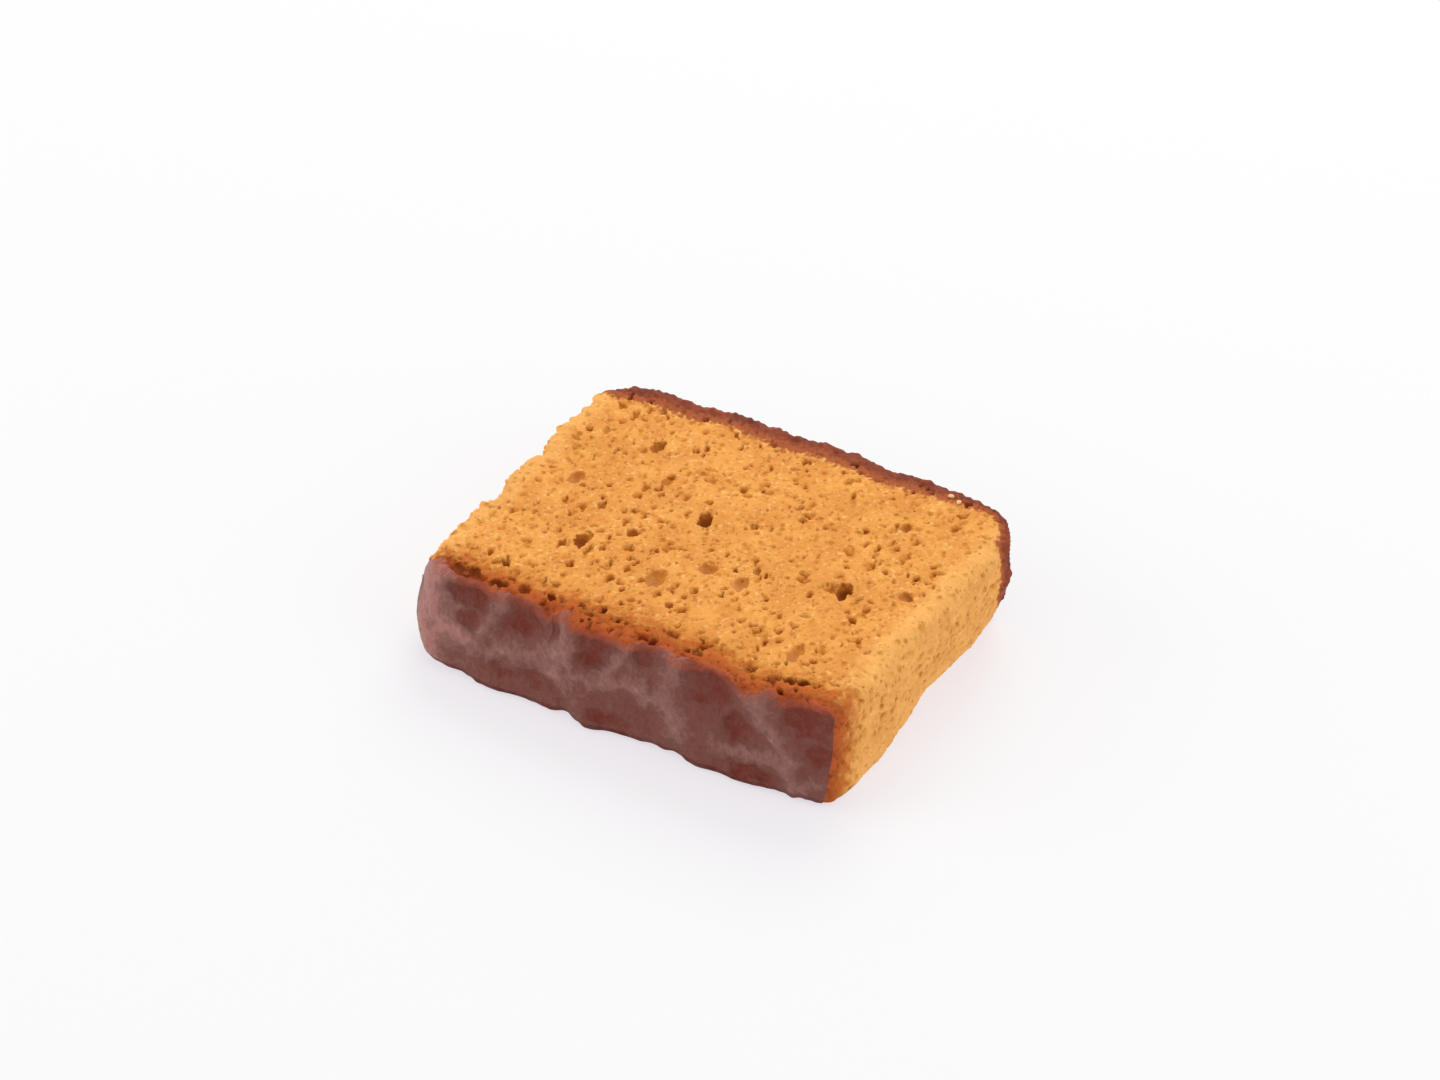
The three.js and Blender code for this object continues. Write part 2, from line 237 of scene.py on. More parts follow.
@dataclass(frozen=True)
class SlabForm:
    """The slab's form, with the same sizes as the solid's, in mm.

    A point of the slab is (a, b, c), each from -1 to 1: along the slice, from base to crown, and up.
    """

    half_length: float = 46.5
    half_rise: float = 35.0
    left_thickness: float = 20.4
    right_thickness: float = 23.6
    left_reach: float = 46.8
    left_tilt: float = 0.4
    left_lean: float = 2.2
    left_belly: float = 2.75
    # Share of the left end's lean and belly that is left at the crown
    left_fade: float = 0.3
    right_foot: float = 45.8
    right_lean: float = 1.3
    right_tilt: float = 2.5
    right_belly: float = 1.1
    right_nip: float = 2.8
    right_nip_from: float = 0.52
    base_top: float = 33.5
    base_top_tilt: float = 0.7
    base_foot: float = 37.4
    base_foot_tilt: float = -1.4
    base_belly: float = 1.0
    # Lumps along the tops of the left end and the crown, and scallops along the base's foot: place, how far
    # it stands out, half width
    left_lumps: Triples = (
        (-20, 0.6, 7), (-13, 0.6, 2.5), (-7.6, -1.2, 2), (-1, 0.3, 4), (7.6, -1.2, 1.8), (16, 0.6, 4),
    )
    crown_lumps: Triples = ((-35, 0.8, 5), (-4.5, -1.1, 4), (15.5, -0.8, 2.5), (32, 0.6, 3))
    scallops: Triples = (
        (-33, -0.5, 2.5), (-20, -1, 5), (-9.5, -1.5, 2), (-3.5, 1.1, 2.2), (4, -0.6, 3),
        (9.5, -1.5, 3.5), (14.6, -0.9, 1.8), (20, 1.2, 3), (43, -0.8, 3),
    )
    crown_reach: float = 34.8
    crown_tilt: float = 1.0
    crown_dome: float = 2.9
    crown_lean: float = -1.1
    hollow_depth: float = 1.9
    hollow_at: float = 0.12
    hollow_half_width: float = 0.42
    curl_height: float = 3.6
    curl_from_x: float = 0.55
    curl_from_y: float = 0.45
    # One for each corner
    top_radii: tuple[float, ...] = (7.0, 1.6, 9.5, 7.0)
    foot_radii: tuple[float, ...] = (12.0, 3.0, 7.0, 5.0)
    # How far round a corner each crust reaches, radians
    crown_wrap_top: float = np.radians(84)
    crown_wrap_foot: float = np.radians(50)
    # Heights between which the top crust's reach passes from the foot's to the top's
    crown_wrap_drop: Span = (-0.8, -0.1)
    base_wrap_left_top: float = np.radians(58)
    base_wrap_left_foot: float = np.radians(85)
    base_wrap_right: float = np.radians(30)
    base_wrap_sway: Ripple = Ripple(0.08, 7.0, 5.5)
    # How far the base crust's skin laps over the top edge, at places along the slice
    skin_lap: Pairs = (
        (-48, -0.7), (-45, -0.4), (-42, 0.1), (-38, 0.2), (-35, 0.3), (-31, -0.6), (-28, -0.3), (-25, 0.5),
        (-22, 0.4), (-18, -1.2), (-14, 0.0), (-12, -1.4), (-8, -1.3), (-4, -0.8), (0, -1.0), (4, 0.6),
        (7, 0.8), (10, -0.4), (14, 0.0), (18, 0.6), (21, -0.2), (25, -1.4), (28, -0.9), (30, -0.2),
        (33, -1.5), (37, -0.6), (41, 0.0), (45, 0.9),
    )
    # Depths under the top face between which the lap ends
    lap_end: Span = (2.0, 6.0)
    # Distance from the wall within which the skin's edge is counted down from the top face
    lap_reach: float = 0.8
    # How much further than elsewhere the crumb is browned from the base, at places along the slice
    toast_lap: Pairs = (
        (-48, -3), (-42, 0), (-36, -0.8), (-26, -0.4), (-10, 0.3), (0, 0.7), (12, 0.3), (20, -1.3),
        (30, -1.8), (40, -1), (46, 0.4),
    )
    # How much less than on the top face the crumb is browned from the skin's edge on the left end, the depths
    # under the top face between which that begins, and how much less still it is where it begins
    end_toast: float = 1.8
    end_toast_start: Span = (1.0, 4.0)
    end_toast_far: float = 10.0
    # How much further than elsewhere the top crust reaches in along the slice, and how much thinner it is
    crown_lap: Pairs = ((-47, 1.4), (-30, 1.9), (25, 1.9), (36, 1.2), (42, 0.8))
    crown_thinning: Pairs = ((20, 1), (34, 1.2), (41, 1.7), (46, 2))
    rims: dict[Side, Rim] = field(
        default_factory=lambda: {
            Side.LEFT: Rim(1.2, 1.2),
            Side.RIGHT: Rim(2.6, 1.2),
            Side.BASE: Rim(0.8, 1.8),
            Side.CROWN: Rim(1.0, 1.2),
        }
    )
    reliefs: dict[Side, Ripple] = field(
        default_factory=lambda: {
            Side.LEFT: Ripple(0.25, 13, 1.0),
            Side.RIGHT: Ripple(0.3, 13, 1.3),
            Side.BASE: Ripple(0.4, 17, 2.3),
            Side.CROWN: Ripple(0.25, 9, 3.1),
        }
    )
    top_relief: Ripple = Ripple(0.3, 19, 4.2)

    @property
    def thickness(self) -> float:
        """The slab's mean thickness."""
        return (self.left_thickness + self.right_thickness) / 2

    def round_corners(self, a: np.ndarray, b: np.ndarray, c: np.ndarray) -> tuple[np.ndarray, np.ndarray]:
        """Rounds the corners of every square ring of (a, b).

        Past the start of a corner's arc, a point is pulled along the line to the arc's centre until it is one
        radius from it. The radius runs from the top's to the foot's with c.

        Args:
            a: Place along the slice.
            b: Place from base to crown.
            c: Place up the slab.

        Returns:
            The rounded a and b.
        """
        ring = np.maximum(np.maximum(np.abs(a), np.abs(b)), TINY)
        at_base = np.where(a < 0, Corner.LEFT_BASE.value, Corner.RIGHT_BASE.value)
        at_crown = np.where(a < 0, Corner.LEFT_CROWN.value, Corner.RIGHT_CROWN.value)
        radius = self.radius(np.where(b < 0, at_base, at_crown), c)
        x = np.abs(a) / ring * self.half_length
        y = np.abs(b) / ring * self.half_rise
        over_x = x - (self.half_length - radius)
        over_y = y - (self.half_rise - radius)
        in_arc = (over_x > 0) & (over_y > 0)
        pull = radius / np.maximum(np.hypot(over_x, over_y), TINY)
        x = np.where(in_arc, self.half_length - radius + over_x * pull, x)
        y = np.where(in_arc, self.half_rise - radius + over_y * pull, y)
        return np.sign(a) * ring * x / self.half_length, np.sign(b) * ring * y / self.half_rise

    def rim_inset(self, wall: Side, c: np.ndarray) -> np.ndarray:
        """How far a wall draws in at height c to round its two edges, each a quarter circle.

        Args:
            wall: The wall.
            c: Place up the slab.

        Returns:
            The inset, mm.
        """
        level = c * self.thickness / 2
        inset = np.zeros_like(level)
        for radius, height in ((self.rims[wall].upper, level), (self.rims[wall].lower, -level)):
            share = np.clip((height - (self.thickness / 2 - radius)) / radius, 0, 1)
            inset += radius * (1 - np.sqrt(1 - share**2))
        return inset

    def walls(self, a: np.ndarray, b: np.ndarray, c: np.ndarray) -> dict[Side, np.ndarray]:
        """Where the four walls stand at (a, b, c).

        Each wall is its reach, plus a lean that grows with height, a belly that is fullest half way up, its
        ripple and the inset of its rims. The right end also has a hollow, a bell curve along b low down.

        Args:
            a: Place along the slice, corners rounded.
            b: Place from base to crown, corners rounded.
            c: Place up the slab.

        Returns:
            The x of the two ends and the y of the base and the crown, mm.
        """
        low, high, swell, bow = (1 - c) / 2, (1 + c) / 2, 1 - c**2, 1 - a**2
        level = c * self.thickness / 2
        near_crown = (1 + b) / 2
        near_base = 1 - (1 - self.left_fade) * near_crown
        hollow = self.hollow_depth * bell(b, self.hollow_at, self.hollow_half_width) * low
        nip = self.right_nip * np.clip((-b - self.right_nip_from) / (1 - self.right_nip_from), 0, 1) * low
        along_x, along_y = a * self.half_length, b * self.half_rise
        tables = ((along_y, self.left_lumps), (along_x, self.crown_lumps), (along_x, self.scallops))
        left_lumps, crown_lumps, scallops = (
            sum(out * bell(place, at, half_width) for at, out, half_width in rows) for place, rows in tables
        )
        left = self.left_reach - self.left_tilt * b + left_lumps * high
        left = left + (self.left_lean * low + self.left_belly * swell) * near_base
        right = self.right_foot + (self.right_lean + self.right_tilt * b) * high
        right = right + self.right_belly * swell * near_crown - hollow - nip
        base = (self.base_top + self.base_top_tilt * a) * high
        base = base + (self.base_foot + self.base_foot_tilt * a) * low
        base = base + self.base_belly * bow + scallops * low**2
        crown = self.crown_reach - self.crown_tilt * a + self.crown_dome * bow + self.crown_lean * low
        crown = crown + crown_lumps * high
        faces = {Side.LEFT: -left, Side.RIGHT: right, Side.BASE: -base, Side.CROWN: crown}
        for wall, face in faces.items():
            along = along_y if wall in (Side.LEFT, Side.RIGHT) else along_x
            inward = 1 if wall in (Side.LEFT, Side.BASE) else -1
            faces[wall] = face + self.reliefs[wall].at(along, level) + inward * self.rim_inset(wall, c)
        return faces

    def top_height(self, x: np.ndarray, y: np.ndarray) -> np.ndarray:
        """Height of the top face: a wedge that undulates gently.

        Args:
            x: Place along the slice, mm.
            y: Place from base to crown, mm.

        Returns:
            The height, mm.
        """
        share = (x + self.half_length) / (2 * self.half_length)
        wedge = self.left_thickness + (self.right_thickness - self.left_thickness) * share
        return wedge + self.top_relief.at(x, y)

    def foot_height(self, a: np.ndarray, b: np.ndarray) -> np.ndarray:
        """Height of the underside: flat but for its curled corner.

        The corner rises with the square of how far a point is into it both ways.

        Args:
            a: Place along the slice, corners rounded.
            b: Place from base to crown, corners rounded.

        Returns:
            The height, mm.
        """
        along_x = np.clip((-a - self.curl_from_x) / (1 - self.curl_from_x), 0, 1)
        along_y = np.clip((-b - self.curl_from_y) / (1 - self.curl_from_y), 0, 1)
        return self.curl_height * (along_x * along_y) ** 2

    def radius(self, corner: np.ndarray | int, c: np.ndarray) -> np.ndarray:
        """Radius of a corner at height c, which runs from its radius at the top to that at the foot."""
        upper, lower = np.array(self.top_radii)[corner], np.array(self.foot_radii)[corner]
        return upper + (lower - upper) * (1 - c) / 2

    def crust_gap(
        self, across: np.ndarray, along: np.ndarray, radius: np.ndarray, wrap: np.ndarray | float
    ) -> np.ndarray:
        """Distance of each point from a crust that follows a wall and then reaches some way round its corner.

        Along the wall it is the distance from the wall. In the corner it is the arc's radius less the
        distance from the arc's centre, and past the crust's end it is the distance from that end.

        Args:
            across: Distance from the crust's wall, mm.
            along: Distance from the wall at the corner, mm.
            radius: The corner's radius, mm.
            wrap: How far round the corner the crust reaches, radians.

        Returns:
            The distance, mm.
        """
        from_x, from_y = radius - along, radius - across
        past_end = np.hypot(from_x - radius * np.sin(wrap), from_y - radius * np.cos(wrap))
        in_corner = np.where(np.arctan2(from_x, from_y) < wrap, radius - np.hypot(from_x, from_y), past_end)
        return np.where(from_x > 0, in_corner, across)

    def base_gaps(
        self, points: np.ndarray, c: np.ndarray, walls: dict[Side, np.ndarray]
    ) -> tuple[np.ndarray, np.ndarray]:
        """Distance of each point from the base crust's skin, negative on the skin, and from browned crumb.

        On the base wall the first is counted down from the top edge, so that the skin's lap can move its edge
        either way over the rim. The second is the distance from the base wall, or on the left end of the
        slice from the skin's end.

        Args:
            points: Points of the slab, mm.
            c: Place up the slab.
            walls: The walls at each point.

        Returns:
            The two distances, mm.
        """
        x, y, z = points.T
        across = y - walls[Side.BASE]
        wrap = self.base_wrap_left_top + (self.base_wrap_left_foot - self.base_wrap_left_top) * (1 - c) / 2
        wrap = wrap + self.base_wrap_sway.at(z, np.zeros_like(z))
        left_radius, right_radius = (self.radius(at.value, c) for at in (Corner.LEFT_BASE, Corner.RIGHT_BASE))
        left = self.crust_gap(across, x - walls[Side.LEFT], left_radius, wrap)
        right = self.crust_gap(across, walls[Side.RIGHT] - x, right_radius, self.base_wrap_right)
        gap = np.where(x < 0, left, right)
        below = self.top_height(x, y) - z
        lap = between(self.skin_lap, x) * (1 - smoothstep(*self.lap_end, below))
        skin = gap - below * (1 - smoothstep(0, self.lap_reach, gap)) - lap
        toast = across - between(self.toast_lap, x)
        fading = self.end_toast_far * (1 - smoothstep(*self.end_toast_start, below))
        on_end = (x < 0) & (below > self.end_toast_start[0])
        return skin, np.where(on_end, np.minimum(toast, left + self.end_toast + fading), toast)

    def surface(self, a: np.ndarray, b: np.ndarray, c: np.ndarray) -> SlabSurface:
        """The slab's points at (a, b, c), each carried between the walls and between foot and top.

        Args:
            a: Place along the slice.
            b: Place from base to crown.
            c: Place up the slab.

        Returns:
            The points and their distances.
        """
        u, v = self.round_corners(a, b, c)
        walls = self.walls(u, v, c)
        x = walls[Side.LEFT] + (walls[Side.RIGHT] - walls[Side.LEFT]) * (u + 1) / 2
        y = walls[Side.BASE] + (walls[Side.CROWN] - walls[Side.BASE]) * (v + 1) / 2
        foot = self.foot_height(u, v)
        z = foot + (self.top_height(x, y) - foot) * (c + 1) / 2
        points = np.stack((x, y, z), -1)
        whole = smoothstep(*self.crown_wrap_drop, c)
        wrap = self.crown_wrap_foot + (self.crown_wrap_top - self.crown_wrap_foot) * whole
        crown_face = walls[Side.CROWN] + self.rim_inset(Side.CROWN, c)
        right_face = walls[Side.RIGHT] + self.rim_inset(Side.RIGHT, c)
        radius = self.radius(Corner.RIGHT_CROWN.value, c)
        crown_gap = self.crust_gap(crown_face - y, right_face - x, radius, wrap)
        crown_gap = crown_gap * between(self.crown_thinning, x) - between(self.crown_lap, x)
        ends = x - walls[Side.LEFT], walls[Side.RIGHT] - x
        return SlabSurface(points, *self.base_gaps(points, c, walls), crown_gap, *ends)


@dataclass(frozen=True)
class SlabGrid:
    """The closed grid that covers the slab: a fine top, walls that hang from its rim, a coarser underside.

    Every vertex is a place (a, b, c) of the slab's form.
    """

    along: int = 252
    rise: int = 192
    down: int = 40
    crowding: float = 0.4
    underside_inset: float = 0.985
    # Width of the flat map of the surface, the gap between its islands, and how much smaller the underside is
    map_width: float = 143.0
    map_margin: float = 2.0
    underside_map_scale: float = 0.45

    def rim(self, along: int, rise: int) -> np.ndarray:
        """Numbers of a grid's outer vertices, once round it from the left base corner, seen from above."""
        ids = np.arange((along + 1) * (rise + 1)).reshape(along + 1, rise + 1)
        return np.concatenate((ids[:-1, 0], ids[-1, :-1], ids[:0:-1, -1], ids[0, :0:-1]))

    def sheet(self, along: int, rise: int, height: float, reach: float) -> np.ndarray:
        """Places of a flat grid at one height, out to a reach of the walls.

        Args:
            along: Cells along the slice.
            rise: Cells from base to crown.
            height: Place up the slab.
            reach: How far it goes towards the walls, at most 1.

        Returns:
            (a, b, c) of each vertex.
        """
        steps = (np.linspace(-reach, reach, count + 1) for count in (along, rise))
        a, b = np.meshgrid(*steps, indexing="ij")
        return np.stack((a, b, np.full_like(a, height)), -1).reshape(-1, 3)

    def places(self) -> np.ndarray:
        """Every vertex's (a, b, c): the top, then the walls level by level, then the underside.

        The levels are part even, part a sine, so that they crowd towards the two rims.

        Returns:
            (a, b, c) of each vertex.
        """
        top = self.sheet(self.along, self.rise, 1.0, 1.0)
        rim = top[self.rim(self.along, self.rise)]
        even = np.linspace(1, -1, self.down + 1)[1:]
        levels = even + (np.sin(np.pi / 2 * even) - even) * self.crowding
        walls = np.repeat(rim[None], self.down, 0)
        walls[..., 2] = levels[:, None]
        underside = self.sheet(self.along // 2, self.rise // 2, -1.0, self.underside_inset)
        return np.concatenate((top, walls.reshape(-1, 3), underside))

    def quads(self, along: int, rise: int) -> np.ndarray:
        """Four corners of every cell of a flat grid, facing up.

        Args:
            along: Cells along the slice.
            rise: Cells from base to crown.

        Returns:
            Four vertex numbers a row.
        """
        ids = np.arange((along + 1) * (rise + 1)).reshape(along + 1, rise + 1)
        corners = (ids[:-1, :-1], ids[1:, :-1], ids[1:, 1:], ids[:-1, 1:])
        return np.stack(corners, -1).reshape(-1, 4)

    def faces(self) -> tuple[np.ndarray, np.ndarray, np.ndarray, np.ndarray]:
        """Joins the vertices.

        The walls' lowest ring has twice the vertices of the underside's rim, so three triangles fill the
        strip between two of its edges and one of the rim's.

        Returns:
            The quads, the side that each is on, the strip's triangles and the side that each is on.
        """
        top = self.quads(self.along, self.rise)
        rim = self.rim(self.along, self.rise)
        start = (self.along + 1) * (self.rise + 1)
        hung = start + np.arange(self.down * len(rim)).reshape(self.down, -1)
        rings = np.concatenate((rim[None], hung))
        ahead = np.roll(rings, -1, 1)
        walls = np.stack((rings[1:], ahead[1:], ahead[:-1], rings[:-1]), -1).reshape(-1, 4)
        around = [side.value for side in (Side.BASE, Side.RIGHT, Side.CROWN, Side.LEFT)]
        edges = np.repeat(around, [self.along, self.rise, self.along, self.rise])
        first = start + self.down * len(rim)
        underside = first + self.quads(self.along // 2, self.rise // 2)[:, ::-1]
        inner = first + self.rim(self.along // 2, self.rise // 2)
        even, odd = rings[-1][::2], rings[-1][1::2]
        inner_ahead, even_ahead = np.roll(inner, -1), np.roll(even, -1)
        strip = np.concatenate(
            (
                np.stack((even, inner, odd), -1),
                np.stack((odd, inner, inner_ahead), -1),
                np.stack((odd, inner_ahead, even_ahead), -1),
            )
        )
        sides = np.concatenate(
            (
                np.full(len(top), Side.TOP.value),
                np.tile(edges, self.down),
                np.full(len(underside), Side.UNDERSIDE.value),
            )
        )
        strip_sides = np.full(len(strip), Side.UNDERSIDE.value)
        return np.concatenate((top, walls, underside)), sides, strip, strip_sides

    def bake_map(self, places: np.ndarray, sides: np.ndarray, form: SlabForm) -> np.ndarray:
        """Where each corner of each face lies on the flat map of the surface.

        Every side is a rectangle of its own: the top with the two ends on its right, the base and the crown
        above them, and the underside, at less than half the scale, in the corner that is left.

        Args:
            places: (a, b, c) of each face's corners.
            sides: The side that each face is on.
            form: The slab's sizes.

        Returns:
            The map's two coordinates for each corner, from 0 to 1.
        """
        long, wide, thick = 2 * form.half_length, 2 * form.half_rise, form.thickness
        gap, small = self.map_margin, self.underside_map_scale
        a, b, c = ((places + 1) / 2).transpose(2, 0, 1)
        islands = {
            Side.TOP: (a * long, b * wide),
            Side.RIGHT: (long + gap + c * thick, b * wide),
            Side.LEFT: (long + 2 * gap + thick + c * thick, b * wide),
            Side.BASE: (a * long, wide + gap + c * thick),
            Side.CROWN: (a * long, wide + 2 * gap + thick + c * thick),
            Side.UNDERSIDE: (long + gap + a * long * small, wide + gap + b * wide * small),
        }
        spots = np.zeros((*a.shape, 2))
        for side, spot in islands.items():
            spots = np.where((sides == side.value)[:, None, None], np.stack(spot, -1), spots)
        return (spots + gap / 2) / self.map_width


def halved(quads: np.ndarray, points: np.ndarray) -> np.ndarray:
    """Cuts each quad into two triangles along its shorter diagonal.

    Args:
        quads: Four vertex numbers a row.
        points: The vertices.

    Returns:
        Three vertex numbers a row, both halves of a quad next to each other.
    """
    corner = points[quads]
    one, other = (np.linalg.norm(corner[:, n] - corner[:, n + 2], axis=1) for n in (0, 1))
    pick = np.where((one <= other)[:, None], [[0, 1, 2, 0, 2, 3]], [[1, 2, 3, 1, 3, 0]])
    return np.take_along_axis(quads, pick, 1).reshape(-1, 3)


def vertex_normals(points: np.ndarray, triangles: np.ndarray) -> np.ndarray:
    """The outward direction at each vertex: the sum of its triangles' normals, weighted by their areas.

    Args:
        points: The vertices.
        triangles: Three vertex numbers a row.

    Returns:
        A unit direction for each vertex.
    """
    corner = points[triangles]
    across = np.cross(corner[:, 1] - corner[:, 0], corner[:, 2] - corner[:, 0])
    count = len(points)
    total = np.stack(
        [np.bincount(triangles.ravel(), np.repeat(across[:, n], 3), minlength=count) for n in range(3)], -1
    )
    return total / np.maximum(np.linalg.norm(total, axis=1, keepdims=True), TINY)


def sink(points: np.ndarray, inward: np.ndarray, centre: np.ndarray, radii: np.ndarray) -> np.ndarray:
    """How far each point moves inward to reach the far side of a bubble that it lies in.

    The bubble is an ellipsoid, so this solves |(point + t inward - centre) / radii| = 1 for the larger t.

    Args:
        points: Points of the surface.
        inward: The unit direction into the cake at each point.
        centre: The bubble's centre, one for all points or one each.
        radii: The bubble's three radii, one set for all points or one each.

    Returns:
        The distance t, 0 for a point outside the bubble.
    """
    offset, heading = (points - centre) / radii, inward / radii
    square = (heading**2).sum(-1)
    half = (heading * offset).sum(-1)
    inside = (offset**2).sum(-1) - 1
    reach = (np.sqrt(np.maximum(half**2 - square * inside, 0)) - half) / square
    return np.where(inside < 0, reach, 0.0)


@dataclass(frozen=True)
class BubbleSize:
    """One size of bubble: at most one in each cell of a lattice, with a random place and radius, mm."""

    cell: float
    share: float
    smallest: float
    largest: float
    seed: int

    def depth(self, points: np.ndarray, inward: np.ndarray, stretch: np.ndarray) -> np.ndarray:
        """How deep these bubbles pit the surface at each point.

        Args:
            points: Points of the surface, mm.
            inward: The unit direction into the cake at each point.
            stretch: How much longer a bubble is along x, y and z than its radius.

        Returns:
            The deepest pit of the 27 cells round each point, mm.
        """
        low = points.min(0) - self.cell
        counts = np.ceil((points.max(0) - low) / self.cell).astype(int) + 2
        random = np.random.default_rng(self.seed)
        places = random.random((*counts, 3))
        radii = random.uniform(self.smallest, self.largest, counts)
        radii = np.where(random.random(counts) < self.share, radii, TINY)
        home = np.floor((points - low) / self.cell).astype(int)
        depth = np.zeros(len(points))
        for step in np.ndindex(3, 3, 3):
            cell = np.clip(home + np.array(step) - 1, 0, counts - 1)
            spot = tuple(cell.T)
            centre = low + (cell + places[spot]) * self.cell
            depth = np.maximum(depth, sink(points, inward, centre, radii[spot][:, None] * stretch))
        return depth


@dataclass(frozen=True)
class Hole:
    """A hole of the top face: where it is, its half widths and its depth, mm.

    It is the lower part of a bubble that is wider inside than at its mouth. A point of the mouth, at a share
    of its half width from the middle, moves to the bubble's wall at that share of the arc from floor to rim.
    """

    x: float
    y: float
    half_x: float
    half_y: float
    depth: float
    # The wall of a wide bubble is a smooth film
    smooth: bool = False
    # Arc from the floor's middle to the rim, radians: past a quarter turn the rim hangs over
    arc: float = np.radians(118)
    bowl_arc: float = np.radians(96)
    # Where the film shows most, off to the lit side as painted light, and how far round that it ends, as
    # shares of the half widths
    film_lit_middle: Span = (-0.15, -0.35)
    film_end: Span = (0.25, 1.0)
    # How much film shows there in either kind of hole
    smooth_film: float = 0.8
    rough_film: float = 0.5

    def cut(self, points: np.ndarray) -> tuple[np.ndarray, np.ndarray, np.ndarray]:
        """Where points of the top face move to.

        Args:
            points: Points of the face, mm.

        Returns:
            How far each moves along x, y and z, how much film shows there, and whether it is in the mouth.
        """
        half = np.array([self.half_x, self.half_y])
        arc = self.bowl_arc if self.smooth else self.arc
        offset = (points[:, :2] - (self.x, self.y)) / half
        share = np.maximum(np.hypot(*offset.T), TINY)
        angle = np.minimum(share, 1) * arc
        aside = offset * (np.sin(angle) / np.sin(arc) / share - 1)[:, None] * half
        down = self.depth * (np.cos(angle) - np.cos(arc)) / (1 - np.cos(arc))
        film = 1 - smoothstep(*self.film_end, np.hypot(*(offset - self.film_lit_middle).T))
        film = film * (self.smooth_film if self.smooth else self.rough_film)
        return np.column_stack((aside, -down)), film, share < 1


